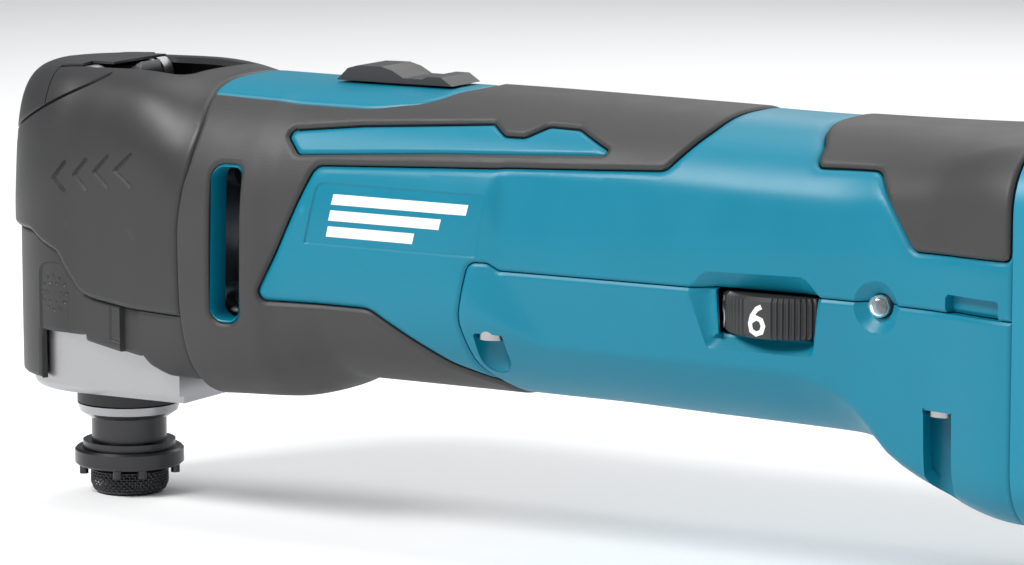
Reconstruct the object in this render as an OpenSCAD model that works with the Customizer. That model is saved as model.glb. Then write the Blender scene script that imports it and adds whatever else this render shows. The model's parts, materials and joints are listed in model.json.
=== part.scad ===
// Cordless oscillating multi-tool with a tool-less clamp lever.
// Millimetres. Origin: centre of the accessory seat on the spindle axis.
// +Z up along the spindle, +X to the rear (battery), -Y towards the dial side.

/* [Spindle] */
// Outer radius of the accessory flange
flange_r = 13.2; // [12:0.1:14]
// Thickness of the accessory flange
flange_h = 4.15; // [3.5:0.05:5]
// Pitch circle diameter of the drive studs
stud_pcd = 22.8; // [22.4:0.1:23.2]
// Radius of one drive stud
stud_r = 1.08; // [1:0.01:1.2]
// How far the studs stand out below the seat
stud_h = 2; // [1.5:0.1:2.2]
// Radius of the spindle shaft in its bearings
shaft_r = 7.5; // [7.2:0.1:7.6]

/* [Head] */
// Nose radius of the head cover about the spindle axis
nose_r = 26.6; // [26:0.1:28]
// Radius of the cast gear housing about the spindle axis
gear_r = 22.5; // [22:0.1:23]
// Height of the lever pin above the seat
pin_z = 94; // [93.5:0.1:94.5]
// Angle that the clamp lever opens through
lever_open = 120; // [90:5:120]
// Distance that the lever pushes the clamp rod
clamp_travel = 3; // [2:0.5:3]

/* [Drive] */
// Height of the motor axis above the seat
motor_z = 61.5; // [61:0.1:62]
// Throw of the crank that swings the fork
crank_throw = 0.73; // [0.6:0.01:0.8]
// Outer radius of the motor's field can
can_r = 24; // [23:0.5:25]

/* [Body] */
// Half of the barrel's width
barrel_half = 33; // [32:0.5:34]
// Height of the barrel's top
top_z = 97; // [96:0.5:98]
// Height of the barrel's underside
under_z = 27.5; // [27:0.5:28]
// Wall thickness of the moulded housings
wall = 2.6; // [2.2:0.1:3]
// Thickness of the rubber layer
grip_t = 1.5; // [1.2:0.1:1.8]
// Height of the seam between housing and lower cover
seam_z = 59.8; // [59:0.1:60]

/* [Battery] */
// Width of the battery pack
pack_w = 75; // [74:0.5:78]
// Rear face of the battery pack
pack_back = 315; // [314:1:318]
// Top of the battery pack
pack_top = 97; // [96:0.5:98]

/* [Hidden] */
$fn = 64;
gap = 0.35;               // clearance between parts that move apart
fit = 0.05;               // radial clearance of a running fit
screw_r = 1.8;            // shank of the cover screws
seam_x = 38;              // joint between head and barrel
flange_x = 250;           // front face of the rear flange
flange_back = 270;        // rear face of the rear flange
floor_z = -7;             // lowest level: bolt head and pack base
bolt_r = 4;               // holder bolt's shank
can_x = [68, 124];        // ends of the field can
dial_c = [188.7, -17.3];  // dial's axis in plan
dial_r = 16;
dial_z = [50.3, 59.3];    // dial's lower and upper face
box_top = 34;             // split between bearing box and gear housing
lever_hub_half = 10.8;    // half the width of the lever's hub
lever_slope = 0.5;        // rise of the lever's lower edge per mm of X
lever_edge = 92.7;        // height of that edge over the spindle axis
screw_spots = [[118.5, 44, 27.6], [230.5, 37, 30]]; // cover screws: x, head z, half spacing

// ---------- shared shapes ----------

// Flat rounded rectangle centred on the origin
module round_rect(w, h, r) {
    square([w - 2 * r, h], center = true);
    square([w, h - 2 * r], center = true);
    for (sx = [-1, 1], sy = [-1, 1])
        translate([sx * (w / 2 - r), sy * (h / 2 - r)]) circle(r = r);
}

// Extrude a side view drawn as [x, z] through the width y0..y1
module side_slab(y0, y1) {
    translate([0, y1, 0]) rotate([90, 0, 0]) linear_extrude(y1 - y0) children();
}

// Extrude a front view drawn as [y, z] from x0 to x1
module front_slab(x0, x1) {
    translate([x0, 0, 0]) rotate([90, 0, 90]) linear_extrude(x1 - x0) children();
}

// Cylinder along X from x0 to x1 about the motor axis
module x_rod(x0, x1, r) {
    translate([x0, 0, motor_z]) rotate([0, 90, 0]) cylinder(h = x1 - x0, r = r);
}

// Cylinder along Z at the origin from z0 to z1
module z_rod(z0, z1, r) {
    translate([0, 0, z0]) cylinder(h = z1 - z0, r = r);
}

// Tube along Z
module z_tube(z0, z1, r_in, r_out) {
    difference() {
        z_rod(z0, z1, r_out);
        z_rod(z0 - 1, z1 + 1, r_in);
    }
}

// Tube along X about the motor axis
module x_tube(x0, x1, r_in, r_out) {
    difference() {
        x_rod(x0, x1, r_out);
        x_rod(x0 - 1, x1 + 1, r_in);
    }
}

// Box from corner to corner
module box(low, high) {
    translate(low) cube(high - low);
}

// Shielded ball bearing on the Z axis, its base at z = 0
module bearing(r_in, r_out, w) {
    ring = (r_out - r_in) * 0.28;
    shield = 0.4;
    rotate_extrude() polygon([
        [r_in, 0], [r_in + ring, 0], [r_in + ring, shield], [r_out - ring, shield],
        [r_out - ring, 0], [r_out, 0], [r_out, w], [r_out - ring, w],
        [r_out - ring, w - shield], [r_in + ring, w - shield], [r_in + ring, w], [r_in, w]]);
}

// The same bearing lying along X about the motor axis
module x_bearing(x0, r_in, r_out, w) {
    translate([x0, 0, motor_z]) rotate([0, 90, 0]) bearing(r_in, r_out, w);
}

// Round-wire compression spring along Z, as a swept ring of facets
module coil_spring(r_mean, wire_r, length, turns, sides = 8, steps = 14) {
    n = floor(turns * steps);
    rise = (length - 2 * wire_r) / n;
    rings = [for (i = [0:n]) for (j = [0:sides - 1])
        let (a = 360 * i / steps, b = 360 * j / sides)
        [(r_mean + wire_r * cos(b)) * cos(a), (r_mean + wire_r * cos(b)) * sin(a),
            wire_r + i * rise + wire_r * sin(b)]];
    walls = [for (i = [0:n - 1]) for (j = [0:sides - 1])
        let (k = (j + 1) % sides)
        [i * sides + j, i * sides + k, (i + 1) * sides + k, (i + 1) * sides + j]];
    ends = [[for (j = [sides - 1:-1:0]) j], [for (j = [0:sides - 1]) n * sides + j]];
    polyhedron(points = rings, faces = concat(walls, ends), convexity = 10);
}

// ---------- outer form of the body ----------

// Side view of barrel and tail, moved inwards by t
module body_side(t) {
    b = under_z + t;
    polygon([
        [seam_x, 23.5 + t], [43, 22.3 + t], [57, 23 + t], [65, 24.8 + t], [74, b + 1],
        [96, b], [201, b - 1.5], [208, 24 + t], [214, 22 + t], [226, 18.5 + t],
        [233, 15.5 + t], [236, 14.5 + t], [flange_back, 14.5 + t],
        [flange_back, 95.5 - t], [172, 96 - t], [100, top_z - t], [seam_x, top_z - t]]);
}

// Plan view of barrel and tail, moved inwards by t
module body_plan(t) {
    h = barrel_half - t;
    polygon([
        [seam_x, -h], [60, -h], [64, -h + 1.4], [200, -h], [222, -h - 1.5], [240, -h - 5],
        [flange_x, -h - 7], [flange_back, -h - 7], [flange_back, h + 7], [flange_x, h + 7],
        [240, h + 5], [222, h + 1.5], [200, h], [64, h - 1.4], [60, h], [seam_x, h]]);
}

// Barrel and tail as one solid, moved inwards by t
module body_form(t) {
    h = barrel_half - t;
    r = 21 - t;
    intersection() {
        side_slab(-60, 60) body_side(t);
        translate([0, 0, -1]) linear_extrude(120) body_plan(t);
        union() {
            front_slab(seam_x - 1, 226)
                translate([0, 59.6]) round_rect(2 * h + 3, 2 * (37.4 - t), r);
            front_slab(206, flange_back + 1)
                translate([0, 55]) round_rect(2 * (40 - t), 2 * (40.5 - t), 14 - t / 2);
        }
    }
}

// Side outline of the coloured side panel that the rubber leaves free
module side_panel() {
    polygon([
        [73.4, 80], [58.6, 50.3], [60, 48.6], [87.4, 48.6], [98, 42.7], [113, 36],
        [290, 36], [290, 110], [174, 110], [171.5, 93], [166.2, 87.3], [162, 85]]);
}

// Side outline of the slim panel above it
module slim_panel() {
    polygon([
        [68.6, 83], [64, 88], [84, 90], [117, 92.2], [121, 90], [126, 90], [131, 92.4],
        [138, 92], [148, 88], [146, 87], [106, 85.2]]);
}

// All that stays in the body colour, seen from the side
module coloured_side() {
    difference() {
        union() {
            side_panel();
            slim_panel();
        }
        rear_grip_side();
    }
}

// Side outline of the lower cover
module cover_side() {
    polygon([
        [120.5, 0], [120.5, 34.3], [115, 38.5], [111.6, 44], [111, 50], [113, 57],
        [116, seam_z], [flange_x, seam_z], [flange_x, 0]]);
}

// Everything in front of the rear grip's edge and below it
module rear_grip_side() {
    polygon([
        [194, 110], [196, 94], [199, 88.3], [214, 88.3], [216, 86], [223.4, 72.3],
        [248.5, 72.3], [248.5, 110]]);
}

// ---------- spindle group ----------

module spindle() {
    color("dimgray") difference() {
        union() {
            rotate_extrude() polygon([
                [8, 0], [flange_r - 0.5, 0], [flange_r, 0.5], [flange_r, flange_h - 0.5],
                [flange_r - 0.5, flange_h], [11.2, flange_h], [11.2, 5.9], [9.1, 5.9],
                [9.1, 14], [8.6, 14], [8.6, 21], [shaft_r, 21], [shaft_r, 76], [6, 76],
                [6, 28], [bolt_r + fit, 28], [bolt_r + fit, 1.5], [8, 1.5]]);
            for (quarter = [0:3], side = [-1, 1])
                rotate(-90 + 34.6 + 90 * quarter + 15 * side)
                    translate([stud_pcd / 2, 0, -stud_h])
                        cylinder(h = stud_h + 1, r = stud_r, $fn = 32);
        }
    }
}

module swing_fork() {
    half = 9.3;
    color("slategray") difference() {
        union() {
            z_rod(54, 68.8, 12);
            box([4, -half - 4.6, 54], [28.5, half + 4.6, 68.8]);
        }
        z_rod(50, 70, shaft_r);
        box([12, -half, 50], [30, half, 70]);
    }
}

module clamp_jaws() {
    color("silver") difference() {
        z_tube(28.1, 40, bolt_r + fit, 5.9);
        box([-0.5, -10, 20], [0.5, 10, 50]);
    }
}

module spindle_collar() {
    color("silver") rotate_extrude() polygon([
        [9.1, 11.9], [10, 11.9], [11.9, 13.2], [12.45, 15.2], [9.1, 15.2]]);
}

module holder_bolt() {
    head_r = 9.45;
    groove = 0.45;
    color("gray") rotate_extrude() polygon(concat(
        [[0, floor_z], [head_r - 2, floor_z], [head_r - 0.6, floor_z + 0.8],
            [head_r, floor_z + 2.4], [head_r, -1.3], [head_r - 0.4, -0.9], [6.6, -0.9],
            [6.6, 1], [bolt_r, 1], [bolt_r, 29]],
        [for (i = [0:5]) each [[bolt_r - groove, 29.4 + 1.6 * i],
            [bolt_r - groove, 30 + 1.6 * i], [bolt_r, 30.2 + 1.6 * i], [bolt_r, 30.6 + 1.6 * i]]],
        [[bolt_r - 0.8, 39.6], [0, 39.6]]));
}

module clamp_rod() {
    color("silver") rotate_extrude() polygon([
        [0, 44], [5.5, 44], [5.95, 44.5], [5.95, 75.6], [4, 75.6], [4, 84], [7.2, 84],
        [7.2, 85.2], [4, 85.2], [4, 87.8], [3.55, 88.25], [0, 88.25]]);
}

module clamp_spring() {
    color("silver") translate([0, 0, 76.2]) coil_spring(6.2, 0.7, 7.7, 4);
}

// ---------- clamp lever ----------

// Plan outline of the head: round nose that widens to the barrel
module head_plan(r, half, back) {
    circle(r = r, $fn = 128);
    polygon([[0, -r], [back, -half], [back, half], [0, r]]);
}

// Head envelope moved inwards by t
module head_form(t) {
    intersection() {
        linear_extrude(110) head_plan(nose_r - t, barrel_half - 0.4 - t, seam_x);
        side_slab(-50, 50) polygon([
            [-27 + t, 0], [-27 + t, 80], [-25.5 + t, 86.5 - t / 2], [-22 + t, 92 - t],
            [-17.5, 95.8 - t], [-9, 97.4 - t], [12, 97.7 - t], [seam_x, top_z - t],
            [seam_x, 0]]);
        front_slab(-40, 60) translate([0, 50])
            round_rect(2 * (barrel_half + 0.5 - t), 2 * (47.7 - t), 20 - t);
    }
}

// Side region of the lever, its lower edge raised by lift
module lever_region(lift, back) {
    polygon([[-40, lever_edge - 40 * lever_slope + lift],
        [back, lever_edge + back * lever_slope + lift], [back, 120], [-40, 120]]);
}

// Spiral cam: its radius grows evenly through the opening angle
module cam_outline() {
    low = 5.5;
    growth = clamp_travel / lever_open;
    polygon(concat(
        [for (a = [-30:5:lever_open]) let (r = low + growth * max(0, a))
            [r * cos(a - 90), r * sin(a - 90)]],
        [[low * 0.8 * cos(150), low * 0.8 * sin(150)]]));
}

// Steel arm that joins the lever's cap to its hub
module lever_arm() {
    box([-16, -lever_hub_half, 91.5], [0, lever_hub_half, 95.2]);
}

module clamp_lever() {
    color([0.13, 0.13, 0.14]) difference() {
        intersection() {
            head_form(0);
            side_slab(-50, 50) lever_region(0.3, -7);
        }
        translate([0, 0, -1]) intersection() {
            head_form(2);
            side_slab(-50, 50) lever_region(-3, -9);
        }
        lever_arm();
        translate([0, 0, pin_z]) side_slab(-4.2, 4.2) circle(r = 6.2);
    }
}

module lever_cam() {
    hub_r = 4.2;
    color("silver") difference() {
        union() {
            lever_arm();
            translate([0, 0, pin_z]) side_slab(-lever_hub_half, lever_hub_half) circle(r = hub_r);
            translate([0, 0, pin_z]) side_slab(-4, 4) cam_outline();
        }
        translate([0, 0, pin_z]) side_slab(-50, 50) circle(r = 2.5 + fit);
    }
}

module lever_pin() {
    color("silver") translate([0, 0, pin_z]) side_slab(-15.2, 15.2) circle(r = 2.5);
}

// ---------- head ----------

module bearing_box() {
    edge = 1.8;
    color([0.75, 0.76, 0.77]) difference() {
        union() {
            rotate_extrude() polygon(concat([[0, 20.2]],
                [for (a = [-90:15:0]) [gear_r - edge + edge * cos(a), 20.2 + edge + edge * sin(a)]],
                [[gear_r, box_top], [0, box_top]]));
            box([0, -gear_r, 20.2 + edge], [30, gear_r, box_top]);
            box([0, edge - gear_r, 20.2], [30, gear_r - edge, 30]);
        }
        z_rod(19, 31, 16);
        z_rod(30.2, box_top + 1, 17);
        x_rod(0, seam_x, 16.5);
    }
}

module gear_housing() {
    top = 80;
    boss_r = 9.4;
    color([0.75, 0.76, 0.77]) difference() {
        union() {
            z_rod(box_top, top, gear_r);
            box([0, -gear_r, box_top], [seam_x, gear_r, top]);
            z_rod(top - 1, 85, boss_r);
            for (s = [-1, 1]) side_slab(s * 13.2 - 1.9, s * 13.2 + 1.9) union() {
                translate([0, pin_z]) circle(r = 3.9);
                polygon([[-6, top - 1], [6, top - 1], [3.9, pin_z], [-3.9, pin_z]]);
            }
        }
        z_rod(30.2, 68.8, 17);
        z_rod(60, 76, 14);
        z_rod(75, 90, 7.8);
        x_rod(0, seam_x + 1, 16.5);
        box([0, -16, 54], [20, 16, 69]);
        translate([0, 0, pin_z]) side_slab(-50, 50) circle(r = 2.5);
        for (sy = [-1, 1], sz = [-1, 1]) translate([24, sy * 18.8, motor_z + sz * 15])
            rotate([0, 90, 0]) cylinder(h = 20, r = 1.9);
    }
}

module lower_spindle_bearing() {
    color("silver") translate([0, 0, 21]) bearing(shaft_r + fit, 16, 9);
}

module upper_spindle_bearing() {
    color("silver") translate([0, 0, 69]) bearing(shaft_r + fit, 14, 7);
}

module bearing_retainer() {
    color("gainsboro") z_tube(18.7, 21, 9.2, 12.45);
    color("gainsboro") z_tube(20.2, 21, 11, 16);
}

module spindle_seal() {
    color([0.1, 0.1, 0.1]) z_tube(15.55, 18.7, 9, 12.45);
}

// Side outline of the head cover
module head_cover_side() {
    polygon([
        [-40, 59.3], [-11.5, 59.3], [-7.5, 56.8], [-2.8, 55], [-0.6, 51.7], [3.7, 45.8],
        [8, 44.6], [20, 43.4], [seam_x, 42.6], [seam_x, 110], [-40, 110]]);
}

module head_cover() {
    recess_half = 15.6;
    color([0.15, 0.15, 0.16]) difference() {
        intersection() {
            difference() {
                head_form(0);
                translate([0, 0, -1]) intersection() {
                    head_form(2.4);
                    box([-40, -50, 0], [seam_x + 1, 50, 120]);
                }
                front_slab(seam_x - 4, seam_x + 2)
                    translate([0, 50]) round_rect(55, 88, 18);
            }
            side_slab(-50, 50) head_cover_side();
        }
        side_slab(-50, 50) lever_region(0, -5.8);
        side_slab(-recess_half, recess_half)
            polygon([[-8, 80], [6, 80], [28, 92], [28, 120], [-8, 120]]);
    }
}

module front_shroud() {
    outer_r = 25.2;
    color([0.12, 0.12, 0.13]) difference() {
        union() {
            intersection() {
                translate([0, 0, 34.8]) linear_extrude(30) head_plan(outer_r, 27, seam_x);
                side_slab(-50, 50) polygon([
                    [-40, 34], [seam_x, 34], [seam_x, 42.3], [20, 43.1], [8, 44.2],
                    [3.5, 45.3], [-0.9, 51.3], [-3, 54.6], [-7.5, 56.4], [-11.5, 58.9],
                    [-40, 58.9]]);
            }
            intersection() {
                translate([0, 0, 22.5]) linear_extrude(14) head_plan(outer_r - 0.9, 26.5, seam_x);
                union() {
                    box([-40, -50, 23.5], [-9.5, 50, 36]);
                    side_slab(-50, 50) polygon([
                        [seam_x, 24], [31, 26.5], [26, 30.5], [23, 36], [seam_x, 36]]);
                }
            }
        }
        linear_extrude(80) head_plan(gear_r + 0.1, gear_r + 0.1, seam_x + 1);
    }
}

module head_screws() {
    color("silver") for (sy = [-1, 1], sz = [-1, 1])
        translate([0, sy * 18.8, motor_z + sz * 15]) rotate([0, 90, 0]) {
            translate([0, 0, 26]) cylinder(h = 17.2, r = 1.9);
            translate([0, 0, 43]) cylinder(h = 3, r = 3.6);
        }
}

// ---------- motor ----------

module motor_bracket() {
    color([0.7, 0.7, 0.72]) difference() {
        union() {
            box([seam_x, -23, motor_z - 20], [43, 23, motor_z + 20]);
            x_rod(42, 50, 14);
        }
        x_rod(43, 51, 11);
        x_rod(seam_x - 1, 44, 5.5);
        for (sy = [-1, 1], sz = [-1, 1]) translate([seam_x - 1, sy * 18.8, motor_z + sz * 15])
            rotate([0, 90, 0]) cylinder(h = 20, r = 1.9);
    }
}

module front_motor_bearing() {
    color("silver") x_bearing(43, 4 + fit, 11, 7);
}

module rear_motor_bearing() {
    color("silver") x_bearing(144, 3 + fit, 9.5, 6);
}

module armature() {
    slots = 12;
    color("darkgoldenrod") difference() {
        union() {
            x_rod(31, 140, 4);
            x_rod(139, 151, 3);
            x_rod(74, 118, 17.3);
            x_rod(68.5, 75, 13);
            x_rod(117, 124, 13);
        }
        for (i = [0:slots - 1]) translate([73, 0, motor_z]) rotate([i * 360 / slots, 0, 0])
            translate([0, -1, 14.5]) cube([46, 2, 6]);
    }
}

module commutator() {
    color("peru") x_tube(126, 138, 4, 9);
}

module cooling_fan() {
    blades = 12;
    color("ivory") {
        x_tube(56.5, 66, 4, 8);
        x_tube(64.4, 66, 7, 21);
        for (i = [0:blades - 1]) translate([0, 0, motor_z]) rotate([i * 360 / blades, 0, 0])
            translate([56.5, -0.6, 7.5]) cube([8.5, 1.2, 13]);
    }
}

module crank() {
    color("silver") difference() {
        union() {
            x_rod(29.6, 37.4, 9.5);
            translate([0, 0, crank_throw]) x_rod(20.6, 30, 3);
            intersection() {
                x_rod(31, 36, 14);
                box([30, -20, motor_z - 20], [37, 20, motor_z - 2]);
            }
        }
        x_rod(31, 40, 4);
    }
}

module crank_bearing() {
    color("silver") translate([0, 0, crank_throw]) x_bearing(21.5, 3, 7.5, 6);
}

module field_can() {
    color("slategray") x_tube(can_x[0], can_x[1], can_r - 2, can_r);
}

module field_magnets() {
    color([0.2, 0.2, 0.22]) difference() {
        x_tube(72, 120, 18.3, can_r - 2);
        box([60, -8, motor_z - 30], [130, 8, motor_z + 30]);
    }
}

module motor_end_bracket() {
    color([0.2, 0.2, 0.2]) difference() {
        union() {
            x_rod(can_x[1], 127.5, can_r);
            x_tube(127, 141, 21, can_r);
            x_rod(140, 151, can_r);
        }
        x_rod(can_x[1] - 1, 128, 19);
        x_rod(144, 152, 9.5);
        x_rod(139, 145, 4.5);
        box([128.2, -30, motor_z - 6.5], [136.8, 30, motor_z + 6.5]);
    }
}

module brush_holders() {
    color("goldenrod") for (s = [-1, 1]) difference() {
        box([128.2, min(s * 10.5, s * 27), motor_z - 6.5], [136.8, max(s * 10.5, s * 27), motor_z + 6.5]);
        box([129.5, min(s * 10, s * 25.5), motor_z - 5], [135.5, max(s * 10, s * 25.5), motor_z + 5]);
    }
}

module carbon_brushes() {
    color([0.25, 0.25, 0.27]) for (s = [-1, 1])
        box([129.6, min(s * 9.35, s * 18), motor_z - 4.9], [135.4, max(s * 9.35, s * 18), motor_z + 4.9]);
}

module brush_springs() {
    color("silver") for (s = [-1, 1]) translate([132.5, s * 18.1, motor_z])
        rotate([-90 * s, 0, 0]) coil_spring(2, 0.4, 7.3, 4, 6, 10);
}

module baffle_ring() {
    color([0.2, 0.2, 0.2]) {
        x_tube(52, 68, 22.2, 24);
        x_tube(52, 53.6, 15.5, 24);
    }
}

// ---------- body ----------

module vent_slots(half_w) {
    for (s = [-1, 1]) side_slab(s * 32 - 10, s * 32 + 10) translate([49.6, 61])
        round_rect(2 * half_w, 37, half_w - 0.1);
}

// Fore-and-aft slot for the knob's stem
module knob_slot() {
    box([66, -4.4, 88], [92, 4.4, 110]);
}

module upper_housing() {
    color([0.0, 0.47, 0.58]) difference() {
        union() {
            body_form(grip_t);
            intersection() {
                body_form(0);
                side_slab(-60, 60) coloured_side();
            }
        }
        box([flange_x, -60, 0], [flange_back + 1, 60, 120]);
        difference() {
            body_form(grip_t + wall);
            for (x = [72, 116]) box([x, -60, 0], [x + 3, 60, 120]);
        }
        side_slab(-60, 60) cover_side();
        x_rod(30, 128, can_r);
        box([60, -6, 86], [130, 6, 93.4]);
        vent_slots(2.2);
        knob_slot();
        lamp_window();
        for (s = screw_spots, side = [-1, 1]) translate([s[0], side * s[2], seam_z - 1])
            cylinder(h = 14, r = screw_r);
        side_slab(-60, -34) translate([240.5, 62]) round_rect(13.5, 3.6, 0.8);
        dial_opening();
    }
    color([0.0, 0.47, 0.58]) screw_posts(seam_z, seam_z + 12);
}

// Posts that the cover screws pass through or bite into
module screw_posts(low, high) {
    for (s = screw_spots, side = [-1, 1]) translate([s[0], side * s[2], 0])
        z_tube(low, high, screw_r, 3.4);
}

module front_grip() {
    color([0.16, 0.16, 0.17]) difference() {
        intersection() {
            body_form(0);
            box([seam_x, -60, 0], [180, 60, 120]);
        }
        body_form(grip_t);
        side_slab(-60, 60) coloured_side();
        side_slab(-60, 60) cover_side();
        vent_slots(4);
        lamp_window();
        box([seam_x - 1, -19.6, 90], [110, 19.6, 110]);
    }
}

module rear_grip() {
    color([0.16, 0.16, 0.17]) intersection() {
        difference() {
            body_form(0);
            body_form(grip_t);
        }
        side_slab(-60, 60) rear_grip_side();
        box([180, -60, 60], [249, 60, 120]);
    }
}

module switch_plate() {
    color([0.1, 0.55, 0.66]) difference() {
        intersection() {
            body_form(0);
            box([seam_x, -19.5, 90], [109.9, 19.5, 120]);
        }
        body_form(grip_t);
        knob_slot();
    }
}

module switch_knob() {
    color([0.08, 0.08, 0.09]) {
        side_slab(-6.5, 6.5) polygon([
            [64, 97.35], [67, 100.2], [69.5, 100.9], [76, 101], [79, 100.2], [82, 98.6],
            [87, 98.6], [88.5, 99.3], [92, 99.3], [95, 97.35]]);
        box([73.5, -4, 90.4], [85, 4, 97.4]);
    }
}

module switch_rod() {
    color([0.25, 0.25, 0.26]) {
        box([73.5, -4, 88.4], [146, 4, 90.4]);
        box([146, -1.5, 87.8], [156, 1.5, 90.4]);
    }
}

module switch_unit() {
    color([0.2, 0.2, 0.2]) difference() {
        box([137, -9, 85.5], [172, 9, 91.4]);
        box([136, -4.5, 87.2], [158, 4.5, 93]);
    }
    color("silver") for (y = [-5, 5]) box([160, y - 1, 80.2], [163, y + 1, 85.5]);
}

module controller() {
    color([0.15, 0.2, 0.25]) difference() {
        box([155, -13, 66], [212, 13, 80]);
        for (i = [0:6]) box([162 + 6 * i, -14, 77], [164.5 + 6 * i, 14, 81]);
    }
}

module dial() {
    color([0.1, 0.1, 0.1]) translate([dial_c[0], dial_c[1], dial_z[0]]) difference() {
        cylinder(h = dial_z[1] - dial_z[0], r = dial_r, $fn = 96);
        for (i = [0:35]) rotate(i * 10) translate([dial_r + 0.15, 0, -1])
            cylinder(h = 20, r = 0.5, $fn = 8);
        translate([0, 0, -1]) cylinder(h = 20, r = 2 + fit);
    }
}

module dial_board() {
    color("darkgreen") box([172, -26, 42], [208, 4, 43.6]);
    color("gray") translate([dial_c[0], dial_c[1], 43.6]) {
        cylinder(h = 5.8, r = 7);
        cylinder(h = 15.4, r = 2);
    }
}

// Side opening and hood of the dial
module dial_opening() {
    box([dial_c[0] - 12.3, -60, dial_z[0] - 0.6], [dial_c[0] + 12.3, -27, dial_z[1] + 0.6]);
    translate([dial_c[0], dial_c[1], dial_z[0] - 0.6])
        cylinder(h = dial_z[1] - dial_z[0] + 1.2, r = dial_r + 0.8);
}

module indicator_lens() {
    color([0.85, 0.95, 0.8]) translate([214.6, 0, 57]) rotate([90, 0, 0])
        rotate_extrude() polygon([
            [0, 24], [2.5, 24], [2.5, 32.6], [2.3, 33.2], [1.6, 33.7], [0, 33.9]]);
}

module lower_cover() {
    color([0.0, 0.47, 0.58]) difference() {
        intersection() {
            body_form(0);
            side_slab(-60, 60) cover_side();
        }
        difference() {
            intersection() {
                body_form(wall);
                side_slab(-60, 60) translate([wall, 0]) cover_side();
                box([100, -60, 0], [flange_x + 5, 60, 110]);
            }
            for (s = screw_spots, side = [-1, 1]) screw_pillar(s, side);
        }
        x_rod(90, 152, can_r + 0.2);
        box([100, -50, seam_z], [260, 50, seam_z + 5]);
        dial_opening();
        translate([214.6, 0, 57]) rotate([90, 0, 0]) {
            cylinder(h = 60, r = 2.5);
            translate([0, 0, 32.2]) cylinder(h = 4, r1 = 2.6, r2 = 7);
        }
        for (s = screw_spots, side = [-1, 1]) screw_pocket(s, side);
    }
}

// Solid block that carries one cover screw's well
module screw_pillar(s, side) {
    translate([s[0] - 5.4, side > 0 ? s[2] - 5.4 : -60, 0]) cube([10.8, 65.4 - s[2], seam_z]);
}

// Open-sided well under one cover screw
module screw_pocket(s, side) {
    translate([s[0], side * s[2], 0]) {
        cylinder(h = s[1] + 3, r = 3.7);
        translate([-3.7, side > 0 ? 0 : -20, 0]) cube([7.4, 20, s[1] + 3]);
        cylinder(h = 90, r = screw_r);
    }
}

module cover_screws() {
    color("dimgray") for (s = screw_spots, side = [-1, 1]) translate([s[0], side * s[2], s[1]]) {
        difference() {
            cylinder(h = 3, r = 3.5);
            translate([0, 0, -1]) cylinder(h = 2.4, r = 1.6, $fn = 6);
        }
        translate([0, 0, 2.9]) cylinder(h = seam_z + 8 - s[1], r = screw_r);
    }
}

module lamp_lens() {
    color([0.9, 0.93, 0.95]) box([44, -5, 22.2], [56, 5, 26]);
}

// Opening under the barrel that the work lamp shines through
module lamp_window() {
    box([43.9, -5.1, 20], [56.1, 5.1, 26]);
    box([42.9, -8.1, 26], [57.1, 8.1, 30]);
}

module lamp_board() {
    color("darkgreen") box([43, -8, 26], [57, 8, 27.4]);
}

// ---------- battery interface and battery ----------

// T-shaped channel for the pack's rails, open below and behind
module rail_channel() {
    box([260, -27.5, 0], [266.6, 27.5, 70]);
    box([257, -23.6, 0], [flange_back + 1, 23.6, 71]);
    box([flange_x - 1, -20, 71], [flange_back + 1, 20, 90]);
}

module battery_mount() {
    color([0.0, 0.47, 0.58]) difference() {
        intersection() {
            body_form(0);
            box([flange_x, -60, 0], [flange_back + 1, 60, 120]);
        }
        rail_channel();
    }
}

module terminal_block() {
    color([0.15, 0.15, 0.15]) difference() {
        box([flange_x + 2, -19.9, 71.1], [268, 19.9, 89.9]);
        for (i = [-1:1]) box([256, 12 * i - 4, 80], [269, 12 * i + 4, 88]);
    }
}

module terminal_blades() {
    color("goldenrod") for (y = [-12, 0, 12]) {
        box([258, y - 0.5, 34], [265.8, y + 0.5, 71.1]);
        box([246, y - 0.5, 72], [flange_x + 2, y + 0.5, 80]);
    }
}

module lead_wires() {
    r = 1.4;
    for (s = [-1, 1]) color(s < 0 ? "firebrick" : "black") {
        translate([212, 11 * s, 76]) rotate([0, 90, 0]) cylinder(h = 34, r = r);
        translate([151, 8 * s, 74]) rotate([0, 90, 0]) cylinder(h = 4, r = r);
    }
    color("white") for (y = [-3, 0, 3]) translate([205, y, 43.6]) cylinder(h = 22.4, r = 0.9);
}

// Battery envelope moved inwards by t
module pack_form(t) {
    half = pack_w / 2 - t;
    front = flange_back + 0.5 + t;
    intersection() {
        front_slab(front, pack_back - t)
            translate([0, (pack_top + floor_z) / 2])
                round_rect(2 * half, pack_top - floor_z - 2 * t, 7 - t / 2);
        translate([0, 0, floor_z - 1]) linear_extrude(120) union() {
            translate([(front + pack_back - t) / 2, 0])
                round_rect(pack_back - t - front, 2 * half, 8 - t / 2);
            translate([front, -half]) square([20, 2 * half]);
        }
    }
}

module pack_front_case() {
    wall_t = 2;
    color([0.12, 0.12, 0.13]) difference() {
        union() {
            intersection() {
                pack_form(0);
                box([260, -60, -20], [290, 60, 120]);
            }
            box([266.2, -23, -4], [272, 23, 53]);
            box([261, -27, -4], [266.3, 27, 53]);
        }
        intersection() {
            pack_form(wall_t);
            box([260, -60, -20], [291, 60, 120]);
        }
        box([256, -5.8, 0], [269.4, 5.8, 30]);
        box([256, -10.4, -2.4], [269.4, 10.4, 8.4]);
        translate([268, 0, 3]) rotate([0, 90, 0]) cylinder(h = 4, r = 3.3);
        for (y = [-12, 0, 12]) box([257, y - 1, 30], [266.8, y + 1, 60]);
    }
}

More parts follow.
